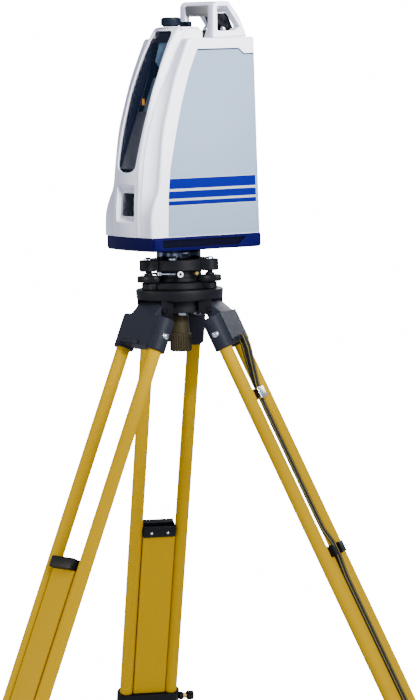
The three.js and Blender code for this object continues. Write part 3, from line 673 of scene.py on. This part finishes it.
def front_cowl():
    cowl = cowl_block("front_cowl_shell")
    behind = cowl_block("behind", (3.2, -3), COWL_HALF + 1)
    low = block("low", (-60, -130, 126), (60, 40, DECK - 7), SCANNER)
    common(low, behind)
    hump = block("hump_hollow", (-45, -10, DECK - 9), (45, 26, HUMP - 3.5), SCANNER)
    behind_low = block("behind_low", (-60, -88, 0), (60, 40, 126.5), SCANNER)
    opening = prism("opening", window_outline(0), -130, 20, "y", SCANNER)
    return cut(cowl, low, hump, behind_low, opening, recess_cutter())


def window_pane():
    """A slab that follows the cowl's face, between two depths behind it."""
    near, far = 1.6, 4.0
    slab = cowl_block("window_pane", (near, -near / 2), 40)
    cut(slab, cowl_block("far", (far, -far / 2), 42))
    return common(slab, prism("pane", window_outline(0.3), -130, 12, "y", SCANNER))


shell = housing_half()
piece(mirror_x(shell, "housing_left_shell"), WHITE, "scanner", "white_shell", "housing_left")
button_hole = rod("hole", 7, 90, 130, spun(moved(SCANNER, 45, 0, 66), -90, "X"))
piece(cut(shell, button_hole), WHITE, "scanner", "white_shell", "housing_right")
panel = side_panel()
piece(mirror_x(panel, "side_panel_left_skin"), PANEL, "scanner", "side_panel", "side_panel_left")
piece(panel, PANEL, "scanner", "side_panel", "side_panel_right")
piece(front_cowl(), WHITE, "scanner", "white_shell", "front_cowl", angle=28)
piece(window_pane(), GLASS, "scanner", "window_glass", "window_glass")
seam_under, seam_step = PANEL_TOP - GAP, PANEL_STEP - GAP
seam_outline = [(1, seam_under), (84.2, seam_under), (95.2, seam_step), (PANEL_REAR, seam_step),
                (PANEL_REAR, 338), (96, 338), (85, 347.6), (2, 347.6)]
seam = prism("panel_seam_right", seam_outline, 77, 79.2, "x", SCANNER)
piece(mirror_x(seam, "panel_seam_left"), SEAM, "scanner", "dark_cover")
piece(seam, SEAM, "scanner", "dark_cover")


# ---------------------------------------------------------------- behind the window
def wall_lining(name, x0, x1):
    front = [(cowl_front(z) + 6, z) for z in evenly(142, 360, 20)]
    return prism(name, [*front, (20, 360), (20, 142)], x0, x1, "x", SCANNER)


def along_wall(name, pairs, width, x0, x1):
    """A strip of even width along (y, z) points on a side wall."""
    ends = [Vector(pairs[1]) - Vector(pairs[0]), *[Vector(b) - Vector(a) for a, b in zip(pairs, pairs[1:])]]
    sides = [d.orthogonal().normalized() * width / 2 for d in ends]
    one = [tuple(Vector(p) + n) for p, n in zip(pairs, sides)]
    other = [tuple(Vector(p) - n) for p, n in zip(pairs, sides)]
    return prism(name, one + other[::-1], x0, x1, "x", SCANNER)


RAIL = [(-16.6, 344.9), (-28.3, 312.2), (-38.8, 281.6), (-54.3, 240.9)]
for side, sign in (("left", -1), ("right", 1)):
    wall, rail = sorted((sign * LINING, sign * (LINING + 0.6))), sorted((sign * 35.126, sign * 35.854))
    piece(wall_lining(f"window_lining_{side}", *wall), NAVY, "scanner", "inner_black")
    piece(along_wall(f"window_rail_{side}", RAIL, 1.2, *rail), STEEL, "scanner", "turned_steel")
ramp = [(-91.6, 141.4), (-54.4, 239.6), (-53.6, 239.2), (-90.6, 141)]
hood = rounded([(-27, 360), (-22, 367), (10, 367), (10, 364.4), (-20, 364.4), (-25, 359)], 0.4)
for name, outline, finish in (("window_ramp", ramp, RAMP), ("window_hood", hood, BLACK)):
    inside = LINING - 0.2
    piece(prism(name, outline, -inside, inside, "x", SCANNER), finish, "scanner", "inner_black")
filter_face = [(-7, 366), (33, 366), (33, 317), (9, 317), (-7, 327)]
filter_rings = [[(x, -22.2 + (z - 366) * 10.8 / 39 + depth, z) for x, z in filter_face] for depth in (0, 0.8)]
piece(loft("beam_filter", filter_rings, SCANNER), TEAL, "scanner", "window_glass")
# A small amber part behind the window that glows as a painted glint.
glint_part = block("amber_part_glint", (-36, -45.5, 251), (-33.5, -41.5, 262), SCANNER, edge=0.6, corner=1.2, axis="x")
piece(glint_part, AMBER, "scanner", None)


def base_outline(depth):
    right = [(0, -106.5), (20, -106.2), (40, -105), (58, -102.8), (70, -100.5)]
    corner = bend((74, -100.2), (84.8, -97.6), (85, -91), 8)
    rear = bend((85, 115), (85, 119.8), (79, 120), 8)
    right = [*right, *corner, *rear]
    left = [(-x, y) for x, y in reversed(right[1:])]
    scale = 1 - depth / 85
    return [(x * scale, 7 + (y - 7) * scale) for x, y in [*right, (0, 120), *left]]


def base_tray():
    levels = [(0, 3.2), (0.8, 1.6), (2.2, 0.6), (4.5, 0), (BASE_HEIGHT - 0.8, 0), (BASE_HEIGHT, 0.8)]
    rings = [[(x, y, z) for x, y in base_outline(depth)] for z, depth in levels]
    tray = loft("base_tray_casting", rings, SCANNER)
    pocket = prism("pocket", base_outline(8), 5, BASE_HEIGHT + 2, "z", SCANNER)
    slot = rounded([(-80, 6), (72, 6), (88, 19.5), (-80, 19.5)], 2)
    grooves = [prism("groove", slot, low, high, "x", SCANNER) for low, high in ((79.6, 90), (-90, -79.6))]
    return cut(tray, pocket, *grooves, rod("bearing_hole", 31.3, -2, 7, SCANNER))


piece(base_tray(), BLUE, "scanner", "blue_base", "base_tray", angle=28)


# ---------------------------------------------------------------- handle and controls
def handle_frame():
    foot = DECK + GAP
    outline = rounded([(47, foot), (48.5, 422), (55, 429), (80, 429), (101, 402), (116, foot)], 3)
    hole = rounded([(55.5, 377.5), (56, 421), (76, 421.5), (102, 384), (91, 377.5)], 4)
    cheek = prism("handle_frame_shell", outline, 37.5, 58, "x", SCANNER, holes=[hole], edge=2.2)
    flare = rounded([(40, foot), (25, foot), (31, foot + 8), (40, foot + 26)], 2)
    join(cheek, prism("flare", flare, 47.4, 58, "y", SCANNER, edge=1))
    twin = mirror_x(cheek, "twin")
    bar_outline = rounded([(51.6, 416), (51.6, 421.8), (49.6, 421.8), (50.6, 424.6), (56, 429), (79, 429),
                           (84.5, 423), (89.5, 409), (82, 409), (79.5, 416)], 1)
    bar = prism("bar", bar_outline, -40, 40, "x", SCANNER)
    return join(cheek, bar, twin)


def handle_grip():
    outline = rounded([(48.6, 406), (47.6, 421.4), (51.2, 421.4), (51.2, 415.7), (66, 415.7), (66, 408),
                       (62, 403), (53, 402.5)], 2.5)
    return prism("handle_grip_pad", outline, -HANDLE_INSIDE, HANDLE_INSIDE, "x", SCANNER, edge=0.8)


def handle_back():
    outline = rounded([(87.6, 408.7), (83.6, 408.7), (103.5, DECK + GAP), (107.5, DECK + GAP)], 1)
    return prism("handle_back_cover", outline, -HANDLE_INSIDE, HANDLE_INSIDE, "x", SCANNER, edge=0.5)


def top_cap():
    profile = [(0, 0), (14, 0), (14, 2.4), (16.2, 2.4), (17, 3.2), (17.4, 5), (17.4, 12.6), (16.8, 14.6),
               (15.4, 15.9), (13, 16.6), (11.5, 17), (10.8, 16.2), (0, 16.2)]
    at = moved(SCANNER, 0, -4, HUMP + GAP)
    return turned("top_cap_knob", profile, at, 160, ridges(0.35, 40, 4, 13.5, 16))


def port_cover():
    at = moved(SCANNER, 0, -96.4, 81) @ Matrix.Rotation(-math.atan(RECESS_SLOPE), 4, "X")
    return block("port_cover_door", (-19, -2.8, -21), (19, 0, 19), at, edge=0.7, corner=3, axis="y")


piece(handle_frame(), WHITE, "scanner", "white_shell", "handle_frame")
piece(handle_grip(), GRIP, "scanner", "grip_rubber", "handle_grip")
piece(handle_back(), GLOSS, "scanner", "dark_cover", "handle_back")
piece(top_cap(), GLOSS, "cap", "cap_black", "top_cap")
piece(port_cover(), GLOSS, "port_door", "dark_cover", "port_cover")
socket = block("deck_socket", (-12, 19.5, HUMP - 2), (21, 26.5, HUMP + 9), SCANNER, edge=0.6, corner=1.2)
piece(socket, GLOSS, "scanner", "dark_cover")
for side, x in (("left", -30), ("right", 30)):
    on_deck = moved(SCANNER, x, 84.5, DECK + GAP)
    post = [(0, 0), (6.6, 0), (6.6, 1.6), (5.4, 2.6), (5.2, 12.6), (0, 12.6)]
    piece(turned(f"antenna_post_{side}", post, on_deck, 40), BLACK, "scanner", "dark_cover")
    dome = [(0, 12.7), (5, 12.7), *arc(0, 15, 5, 0, 80, 7), (0, 20)]
    piece(turned(f"antenna_dome_{side}", dome, on_deck, 40), CHROME, "scanner", "bright_steel")


# ---------------------------------------------------------------- tripod legs
def leg_frame(i):
    """A leg's own frame: x outward, y across, and z = -station down the leg from its hinge."""
    fold, extend = JOINTS[f"leg_{i}_fold"], JOINTS[f"leg_{i}_extend"]
    z = -Vector(extend["axis"]).normalized()
    y = Vector(fold["axis"]).normalized()
    x = y.cross(z)
    at = Matrix((x, y, z)).transposed().to_4x4()
    at.translation = Vector(fold["pos_m"])
    return at


def across(at, y=0, z=0, x=0):
    """A frame whose z axis runs across the leg."""
    return spun(moved(at, x, y, z), -90, "X")


def tube_bores(at, low, high):
    return [rod("bore", TUBE_HOLE, low, high, moved(at, 0, y), 48) for y in TUBE_SIDES]


def yoke(at, name):
    """The moulding at a leg's head: a tongue, two sockets with a web between, and the strap's bar."""
    top, end = YOKE_AT
    half = TUBE_SPACING / 2
    outline = rounded([(4, 14), (19, -17), (19, -34), (-7, -34), (-10, 6), (-5, 12)], 1.5)
    tongue = prism(name, outline, -31, 31, "y", at, edge=0.8)
    web = block("web", (-7, -half, 3 - end), (19, half, -top), at)
    profile = [(0, -end), (16.4, -end), (17.5, 1.2 - end), (17.5, -top - 1.2), (16.4, -top), (0, -top)]
    sockets = [turned("socket", profile, moved(at, 0, y), 48) for y in TUBE_SIDES]
    low, high = -STRAP_BAR_AT - 4, 4 - STRAP_BAR_AT
    bar_ears = [block("ear", (17, y, low), (28.5, y + 3, high), at, corner=1.5, axis="y") for y in (9, -28)]
    bar = rod("bar", 2.4, -18.5, 18.5, across(at, STRAP_Y, -STRAP_BAR_AT, 25.4), 20)
    join(tongue, web, *sockets, *bar_ears, bar)
    return cut(tongue, *tube_bores(at, -end - 9, -34))


def hinge_pin(at, name):
    profile = [(0, -37.5), (3.2, -37.5), (4, -36.7), (4, 36.7), (3.2, 37.5), (0, 37.5)]
    return turned(name, profile, across(at), 24)


def leg_tube(at, name, y):
    inner, low, high, edge = 10.4, -846, -35, 0.6
    profile = [(inner, low), (TUBE_RADIUS - edge, low), (TUBE_RADIUS, low + edge), (TUBE_RADIUS, high - edge),
               (TUBE_RADIUS - edge, high), (inner, high), (inner, low)]
    return turned(name, profile, moved(at, 0, y), 48)


def centred(thick, wide, radius):
    return rectangle((-thick / 2, -wide / 2), (thick / 2, wide / 2), radius)


def sleeve(name, at, low, high, size, channel, edge=0.8, corner=2.0):
    """A flat tube along the leg, between two stations."""
    return prism(name, centred(*size, corner), -high, -low, "z", at, holes=[centred(*channel, 1)], edge=edge)


def cross_bracket(at, name, grooved):
    """The bracket between the tubes; a groove in its outer face lets the strap by."""
    low, high = -CAP_AT[1], -CAP_AT[0]
    outline = rectangle((-13, -PANEL_WIDE / 2), (20, PANEL_WIDE / 2), 3)
    body = prism(name, outline, low, high, "z", at, holes=[centred(*LEG_CHANNEL, 1)], edge=1.2)
    if grooved:
        cut(body, block("groove", (13, STRAP_Y - 14, low - 1), (21, STRAP_Y + 14, high + 1), at))
    return body


def collar(at, name):
    """The clamp round both tubes' ends and the inner leg."""
    half = TUBE_SPACING / 2
    outline = arc(0, half, COLLAR_ROUND, 0, 180, 20) + arc(0, -half, COLLAR_ROUND, 180, 360, 20)
    hole = centred(*LEG_CHANNEL, 1)
    body = prism(name, outline, -COLLAR_AT[1], -COLLAR_AT[0], "z", at, holes=[hole], edge=1.5)
    return cut(body, *tube_bores(at, -847, -820))


def clamp_knob(at, name):
    """A fluted knob on the collar's side, and the frame it turns in."""
    out = TUBE_SPACING / 2 + COLLAR_ROUND + GAP
    place = spun(moved(at, 0, -out, -sum(COLLAR_AT) / 2), 90, "X")
    profile = [(0, 0), (6, 0), (7.6, 0.8), (7.6, 7), (6.4, 8), (4.5, 8.2), (4.5, 14), (7, 14.4), (8.6, 16),
               (9, 18), (9, 26), (8, 27.6), (5, 28.4), (0, 28.6)]
    return turned(name, profile, place, 84, ridges(0.5, 14, 14.2, 30, 7.5)), place


def foot(at, name):
    """A pointed shoe with a step to tread on, cut off level with the ground."""
    top = -INNER_LEG_AT[1] - GAP
    tip = top - 80
    outline = rounded([(-31, top), (-31, top - 16), (-12, top - 40), (12, top - 40), (31, top - 16),
                       (31, top)], 4)
    shoe = prism(name, outline, -11, 11, "x", at, edge=2)
    step = block("step", (9, -17, top - 24), (36, 17, top - 18), at, edge=1.2, corner=6)
    spike = turned("spike", [(0, tip), (4, tip), (10.5, top - 42), (10.5, top - 30), (0, top - 30)], at, 40)
    plug = block("plug", (-3.9, -25.4, top - 2), (3.9, 25.4, 22 + top), at, edge=0.5)
    join(shoe, step, spike, plug)
    return squared(cut(shoe, block("ground", (-900, -900, -200), (900, 900, 0))))


def strap_path():
    """The strap's middle line as (x, z) in the leg's frame: from the collar up, over the bar and back."""
    up = [(18.8, -862), (18.6, -826), (11.6, -790), (11.2, -650), (11.2, -520), (14.6, -486), (14.6, -456),
          (9, -430), (8.4, -400), (8.4, -300), (8.4, -200), (8.8, -168), (15, -112), (20.6, -80)]
    down = [(28.6, -86), (24, -106), (17.5, -134), (12.6, -154), (12.6, -170)]
    return up + arc(25.4, -STRAP_BAR_AT, 4.2, 180, 0, 14) + down


def ribbon(name, path, width, thickness, at):
    """A flat band along (x, z) points, with rounded long edges."""
    half, side = thickness / 2, width / 2
    above = [(y, half) for y in (0.5 - side, -side / 2, 0, side / 2, side - 0.5)]
    section = [(-side, 0), *above, (side, 0), *[(y, -half) for y, _ in reversed(above)]]
    rings = []
    for i, (x, z) in enumerate(path):
        before, after = Vector(path[max(0, i - 1)]), Vector(path[min(len(path) - 1, i + 1)])
        normal = (after - before).normalized().orthogonal()
        rings.append([(x + normal.x * h, y + STRAP_Y, z + normal.y * h) for y, h in section])
    return loft(name, rings, at)


def buckle(at):
    """An open frame round both strands, with windows in its sides."""
    outline = rectangle((5.2, STRAP_Y - 16), (16.6, STRAP_Y + 16), 2)
    channel = rectangle((7, STRAP_Y - 14), (14.8, STRAP_Y + 14), 1)
    body = prism("strap_buckle_frame", outline, -178, -158, "z", at, holes=[channel], edge=0.6)
    window = rectangle((7.4, -175.5), (14.4, -160.5), 1.5)
    return cut(body, prism("window", window, STRAP_Y - 18, STRAP_Y + 18, "y", at))


for i in (1, 2, 3):
    at, body = leg_frame(i), f"leg_{i}"
    piece(yoke(at, f"yoke_{i}_moulding"), GRAPHITE, body, "yoke_plastic", f"yoke_{i}")
    piece(hinge_pin(at, f"hinge_pin_{i}"), BLACK, body, "black_casting")
    for side, y in zip("ab", TUBE_SIDES):
        tube = leg_tube(at, f"tube_{side}_{i}_pole", y)
        piece(tube, YELLOW, body, "yellow_tube", f"tube_{side}_{i}")
        beside = spun(moved(at, 0, math.copysign(abs(y) + 17.2, y), -45), -90 if y > 0 else 90, "X")
        piece(dome_bolt(f"yoke_bolt_{side}_{i}", beside), CHROME, body, "bright_steel")
    stations = (CAP_AT[1] + GAP, COLLAR_AT[0] - GAP)
    box = sleeve(f"leg_panel_{i}_box", at, *stations, (19, PANEL_WIDE), LEG_CHANNEL)
    piece(box, YELLOW, body, "yellow_panel", f"leg_panel_{i}")
    bracket = cross_bracket(at, f"cross_bracket_{i}_moulding", i == 2)
    piece(bracket, BLACK, body, "black_moulding", f"cross_bracket_{i}")
    for side, y in (("a", -15), ("b", 15)):
        face = spun(moved(at, -12.6, y, -sum(CAP_AT) / 2), -90, "Y")
        piece(dome_bolt(f"bracket_screw_{i}_{side}", face, 3), CHROME, body, "bright_steel")
    piece(collar(at, f"collar_{i}_moulding"), BLACK, body, "black_moulding", f"collar_{i}")
    knob, knob_at = clamp_knob(at, f"clamp_knob_{i}_head")
    piece(knob, BLACK, f"clamp_{i}", "knob_brass", f"clamp_knob_{i}")
    neck = turned(f"clamp_neck_{i}", [(4.4, 8.3), (5, 8.3), (5, 14.2), (4.4, 14.2), (4.4, 8.3)], knob_at, 32)
    piece(neck, BRASS, f"clamp_{i}", "knob_brass")
    lower = sleeve(f"inner_leg_{i}_box", at, *INNER_LEG_AT, (12, 55), (8.4, 51.4), 0.6, 1.5)
    piece(lower, YELLOW, f"lower_leg_{i}", "yellow_panel", f"inner_leg_{i}")
    piece(foot(at, f"foot_{i}_shoe"), IRON, f"lower_leg_{i}", "foot_iron", f"foot_{i}")
    if i == 2:
        band = ribbon("strap_band", strap_path(), STRAP_WIDE, STRAP_THICK, at)
        piece(band, WEB, body, "webbing", "strap")
        piece(buckle(at), CHROME, body, "bright_steel", "strap_buckle")


# ---------------------------------------------------------------- tripod head and tribrach
def head_plate():
    """The round head with its boss, and a pair of ears with a web between them for each leg."""
    under = HEAD_TOP - 18.5
    profile = [(10.5, under - 22), (50, under - 22), (51.5, under - 20.5), (51.5, under),
               (73.5, under), (75.5, under + 1.5), (77, HEAD_TOP - 4), (76.6, HEAD_TOP - 1),
               (74.5, HEAD_TOP), (10.5, HEAD_TOP), (10.5, under - 22)]
    disc = turned("head_plate_casting", profile, IDENTITY, 120)
    ears = []
    for i in (1, 2, 3):
        pin = Vector(JOINTS[f"leg_{i}_fold"]["pos_m"])
        r, z = math.hypot(pin.x, pin.y) / MM, pin.z / MM
        outline = rounded([(r - 18, under + 1), (r - 18, z - 4.5), (r - 4, z - 8), (r + 4, z - 8),
                           (r + 9, z - 2), (r + 10.5, under + 1)], 2)
        turn = Matrix.Rotation(math.atan2(pin.y, pin.x), 4, "Z")
        hole = circle(4.5, 24, r, z)
        ears += [prism("ear", outline, low, low + 6.5, "y", turn, [hole]) for low in (31.5, -38)]
        ears.append(block("web", (r - 18, -36, z - 3), (r - 12.5, 36, under + 1), turn, edge=0.6))
    ring = join(ears[0], *ears[1:])
    common(ring, rod("trim", 76, under - 30, under + 2, steps=120))
    return join(disc, ring)


def fixing_screw():
    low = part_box("fixing_screw")[0].z / MM
    profile = [(0, low), (16.6, low), (18.4, low + 1.1), (19.2, low + 3.5), (19.2, low + 29.1),
               (18.8, low + 30.5), (16.5, low + 32.5), (13.9, low + 69.5), (7.5, low + 69.5),
               (7.5, HEAD_TOP + 8), (0, HEAD_TOP + 8)]
    fluted = lambda r, z, a: r - (1.3 * (1 - abs(math.sin(12 * a))) ** 2 if z < low + 31.5 and r > 15 else 0)
    return turned("fixing_screw_knob", profile, IDENTITY, 192, fluted)


def lobed_plate(name, lobe, hub, low, high, edge, holes):
    """A round plate with a lobe over each foot screw, and straight ties between hub and lobes."""
    profile = lambda r: [(0, low), (r - edge, low), (r, low + edge), (r, high - edge), (r - edge, high),
                         (0, high)]
    body = turned(name, profile(hub), IDENTITY, 96)
    tie = rectangle((0, -lobe), (SCREW_CIRCLE, lobe))
    parts = []
    for (x, y), angle in zip(SCREWS, SCREW_ANGLES):
        parts.append(turned("lobe", profile(lobe), moved(IDENTITY, x, y), 48))
        parts.append(prism("tie", tie, low, high, "z", spun(IDENTITY, angle, "Z"), edge=edge))
    join(body, *parts)
    return cut(body, *[prism("hole", hole, low - 5, high + 5) for hole in holes])


SCREWS = [arc(0, 0, SCREW_CIRCLE, angle, angle, 1)[0] for angle in SCREW_ANGLES]


def on_head(x, y, z, turn=0.0):
    return moved(IDENTITY, x, y, HEAD_TOP + z) @ Matrix.Rotation(turn, 4, "Z")


def sight_line(out):
    """A frame whose z axis runs out along the plummet's telescope, from a distance off the axis."""
    return spun(moved(spun(IDENTITY, SIGHT_TURN, "Z"), out, 0, TOP_PLATE[0] - 4.2), 90, "Y")


def tribrach_top():
    low = TOP_PLATE[0]
    holes = [circle(5.4, 24, x, y) for x, y in SCREWS] + [circle(17.4, 40)]
    body = lobed_plate("tribrach_top_casting", 15.5, 54, *TOP_PLATE, 1.6, holes)
    profile = [(0, low - 8), (25, low - 8), (26, low - 7), (26, low + 1), (0, low + 1)]
    drum = turned("drum", profile, IDENTITY, 48)
    return join(body, drum, rod("tube", 3.6, 12, 55, sight_line(0), 32))


def tribrach_base():
    low, high = HEAD_TOP + 0.5, HEAD_TOP + 12
    return lobed_plate("tribrach_base_casting", 12, 56, low, high, 1.2, [circle(8.2, 32)])


def foot_screw(i):
    low, high, top = HEAD_TOP + 13.5, HEAD_TOP + 24.5, TOP_PLATE[1] + 0.2
    profile = [(0, low - 1.2), (6, low - 1.2), (6, low), (18.6, low), (20, low + 1.4), (20, high - 1.4),
               (18.6, high), (9, high + 0.4), (8, high + 1.2), (8, high + 4), (5, high + 4.2), (5, top),
               (0, top)]
    knurl = ridges(0.5, 45, low + 1, high - 1, 19)
    return turned(f"foot_screw_{i}_knob", profile, moved(IDENTITY, *SCREWS[i - 1]), 180, knurl)


def eyepiece():
    at = sight_line(55.6)
    profile = [(0, 0), (3.6, 0), (3.6, 2), (5.2, 2.6), (5.4, 3.4), (5.4, 10.4), (4.9, 11), (0, 11)]
    return turned("eyepiece_ring", profile, at, 96, ridges(0.2, 24, 4, 10, 5)), at


piece(head_plate(), BLACK, "stand", "black_casting", "head_plate")
piece(fixing_screw(), OLIVE, "central_screw", "screw_plastic", "fixing_screw")
piece(tribrach_top(), BLACK, "stand", "black_casting", "tribrach_top")
piece(tribrach_base(), BLACK, "stand", "black_casting", "tribrach_base")
for i in (1, 2, 3):
    piece(foot_screw(i), BLACK, f"levelling_{i}", "knurled_black", f"foot_screw_{i}")
drum = [(24, 12.6), (40, 12.6), (41, 13.6), (41, 20), (39.5, 21), (39.5, 32), (24, 32), (24, 12.6)]
piece(turned("tribrach_drum", drum, on_head(0, 0, 0), 96), BLACK, "stand", "black_casting")
skirt = [(35.2, 52.8), (38.5, 52.8), (39, 53.6), (39, 68.4), (38, 70), (35.2, 70), (35.2, 52.8)]
piece(turned("centring_ring", skirt, on_head(0, 0, 0), 96), SPINDLE, "stand", "turned_steel")
ring, ring_at = eyepiece()
piece(ring, BLACK, "eyepiece_ring", "eyepiece_black", "eyepiece")
bezel = [(2.5, 10.9), (5.1, 10.9), (5.1, 11.6), (4.6, 12), (2.9, 12), (2.5, 11.6), (2.5, 10.9)]
piece(turned("eyepiece_bezel", bezel, ring_at, 48), WHITE, "eyepiece_ring", "white_shell")
lens = [(0, 10.6), (2.45, 10.6), (2.45, 11.1), (1.4, 11.5), (0, 11.6)]
piece(turned("eyepiece_lens", lens, ring_at, 32), GLOSS, "eyepiece_ring", "dark_cover")


def hex_screw(name, at, across_flats, height):
    """A hexagon head with a chamfered top, standing on the frame's xy plane."""
    head = prism(name, circle(across_flats / math.sqrt(3), 6), 0, height, "z", at, edge=0.5)
    return join(head, rod("washer", across_flats * 0.62, -0.6, 0.3, at, 32))


for i, (x, y) in enumerate(SCREWS, 1):
    dome = [(0, 0), (7, 0), (7, 0.9), (6.6, 2.2), (5.2, 3.4), (3, 4.1), (0, 4.4)]
    dome_at = moved(IDENTITY, x, y, TOP_PLATE[1] + GAP)
    piece(turned(f"foot_screw_{i}_dome", dome, dome_at, 48), CHROME, f"levelling_{i}", "bright_steel")
for k, (x, y, size) in enumerate(((27, -9, 14), (36, 14, 10), (-30, 24, 12))):
    under_head = spun(on_head(x, y, -40.7, 0.4 * k), 180, "X")
    piece(hex_screw(f"boss_screw_{k}", under_head, size, 5), CHROME, "stand", "bright_steel")
level_at = on_head(34, -32, 52.5)
cell = [(0, 0), (7, 0), (7, 2.4), (6.4, 3.2), (5.2, 3.2), (5, 2.4), (0, 2.4)]
vial = [(0, 2.2), (4.9, 2.2), (4.9, 2.8), (3, 3.4), (0, 3.6)]
piece(turned("bubble_level_cell", cell, level_at, 48), STEEL, "stand", "turned_steel")
piece(turned("bubble_level_vial", vial, level_at, 40), VIAL, "stand", None)
adjusting = ((52, -96, 3.2, BRASS), (50, -80, 2.4, CHROME), (52, 4, 3.6, BRASS))
for k, (radius, angle, size, metal) in enumerate(adjusting):
    outward_at = spun(spun(IDENTITY, angle, "Z") @ on_head(radius, 0, 28), 90, "Y")
    shank = size * 0.6
    barrel = [(0, -16), (shank, -16), (shank, 0), (size, 0.3), (size, 3.2), (size - 0.6, 4), (0, 4)]
    screw = turned(f"adjusting_screw_{k}", barrel, outward_at, 60, ridges(0.12, 20, -1, 5, size * 0.9))
    piece(screw, metal, "stand", "knob_brass")


def clamp_lever():
    """A round hub with a tapered handle."""
    pivot = Vector(JOINTS["clamp_lever_swing"]["pos_m"]) / MM
    at = spun(moved(IDENTITY, pivot.x, pivot.y, TOP_PLATE[0] - GAP), 42.6, "Z")
    hub = turned("clamp_lever_arm", [(0, -7), (3.9, -7), (4.5, -6.4), (4.5, -0.6), (3.9, 0), (0, 0)], at, 40)
    profile = [(0, 1), (1.6, 1), (2.1, 15), (2.8, 27), (2.6, 29), (1.6, 30), (0, 30.2)]
    return join(hub, turned("arm", profile, spun(moved(at, 0, 0, -4), 90, "Y"), 32))


piece(clamp_lever(), CHROME, "lever", "bright_steel", "clamp_lever")

# ---------------------------------------------------------------- carried-over frame nodes
CARRIED = {
    "spindle": SPINDLE, "pan_bearing": STEEL, "pan_pinion": STEEL, "pan_gear": BRASS, "power_button": BLACK,
    "chassis": TRAP, "mirror": DIM, "mirror_motor": BLACK, "lidar_module": RIBBED, "battery": BLACK,
}
for node, material in CARRIED.items():
    obj = frame["nodes"][node]
    obj.data.materials.clear()
    obj.data.materials.append(material)


# ---------------------------------------------------------------- stage, lights and camera
def stage():
    """A pale round floor that fades out towards its rim."""
    floor = mesh_object("floor", [(x, y, 0) for x, y in circle(3000, 96)], [tuple(range(96))])
    finish = Finish("floor_paper", (0.86, 0.86, 0.86), 0.75)
    finish.patches((0.9, 0.9, 0.9), 2, 0.3, 0.7, 0.3)
    reach = finish.node("ShaderNodeVectorMath", Vector=finish.place)
    reach.operation = "LENGTH"
    finish.links.new(finish.remap(reach.outputs["Value"], 0.9, 2.2, 1, 0), finish.shader.inputs["Alpha"])
    floor.data.materials.append(finish.material)


def aimed(obj, place, target):
    bpy.context.collection.objects.link(obj)
    obj.location = place
    obj.rotation_euler = (Vector(target) - Vector(place)).to_track_quat("-Z", "Y").to_euler()


def area_light(name, place, target, size, power, color=(1, 1, 1)):
    light = bpy.data.lights.new(name, "AREA")
    light.shape, light.size, light.energy, light.color = "SQUARE", size, power, color
    aimed(bpy.data.objects.new(name, light), place, target)


def spot_light(name, place, target, radius, angle, power, color=(1, 1, 1)):
    light = bpy.data.lights.new(name, "SPOT")
    light.shadow_soft_size, light.energy, light.color = radius, power, color
    light.spot_size, light.spot_blend = math.radians(angle), 0.35
    aimed(bpy.data.objects.new(name, light), place, target)


def studio_world():
    """Plain white behind the object, and a soft bluish light from all round on it."""
    world = bpy.data.worlds.new("studio")
    bpy.context.scene.world = world
    world.use_nodes = True
    nodes, links = world.node_tree.nodes, world.node_tree.links
    soft, white = nodes["Background"], nodes.new("ShaderNodeBackground")
    for light, color, strength in ((soft, (0.82, 0.88, 1.2, 1), 0.5), (white, (1, 1, 1, 1), 16)):
        light.inputs["Color"].default_value = color
        light.inputs["Strength"].default_value = strength
    either = nodes.new("ShaderNodeMixShader")
    links.new(nodes.new("ShaderNodeLightPath").outputs["Is Camera Ray"], either.inputs["Fac"])
    links.new(soft.outputs["Background"], either.inputs[1])
    links.new(white.outputs["Background"], either.inputs[2])
    links.new(either.outputs["Shader"], nodes["World Output"].inputs["Surface"])


def lights():
    """A key from the right, a cool front, a rear fill, and spots for the scanner and the near leg."""
    area_light("key", (3.4, 0.4, 2.3), (0, 0, 1.0), 1.8, 150)
    area_light("front", (0.6, -4.2, 1.2), (0, 0, 0.9), 2.2, 36, (0.74, 0.85, 1.0))
    area_light("rear", (-2.6, 3.2, 2.6), (0, 0, 1.1), 2.2, 90)
    spot_light("scanner_key", (2.8, -0.32, 2.75), (0, 0, 1.55), 0.35, 10.8, 2450)
    spot_light("leg_fill", (-1.2, -3.0, 1.6), (0.06, -0.38, 0.66), 0.4, 27, 270, (1, 0.94, 0.76))
    studio_world()


def camera():
    """Looks in from the front right, a little above the tribrach, through a long lens."""
    data = bpy.data.cameras.new("camera")
    data.sensor_width, data.lens, data.shift_y = 36, 194.7, 0.0307
    data.clip_start, data.clip_end = 0.1, 100
    obj = bpy.data.objects.new("camera", data)
    bpy.context.collection.objects.link(obj)
    azimuth, down, roll = math.radians(149.37), math.radians(5.37), math.radians(1.41)
    flat = Vector((math.cos(azimuth), math.sin(azimuth), 0))
    forward = flat * math.cos(down) - Vector((0, 0, math.sin(down)))
    right = forward.cross(Vector((0, 0, 1))).normalized()
    low = forward.cross(right)
    across_view = right * math.cos(roll) + low * math.sin(roll)
    down_view = low * math.cos(roll) - right * math.sin(roll)
    turn = Matrix((across_view, -down_view, -forward)).transposed().to_4x4()
    turn.translation = (5.7352, -3.3397, 1.6652)
    obj.matrix_world = turn
    bpy.context.scene.camera = obj


stage()
lights()
camera()

bpy.context.view_layer.update()
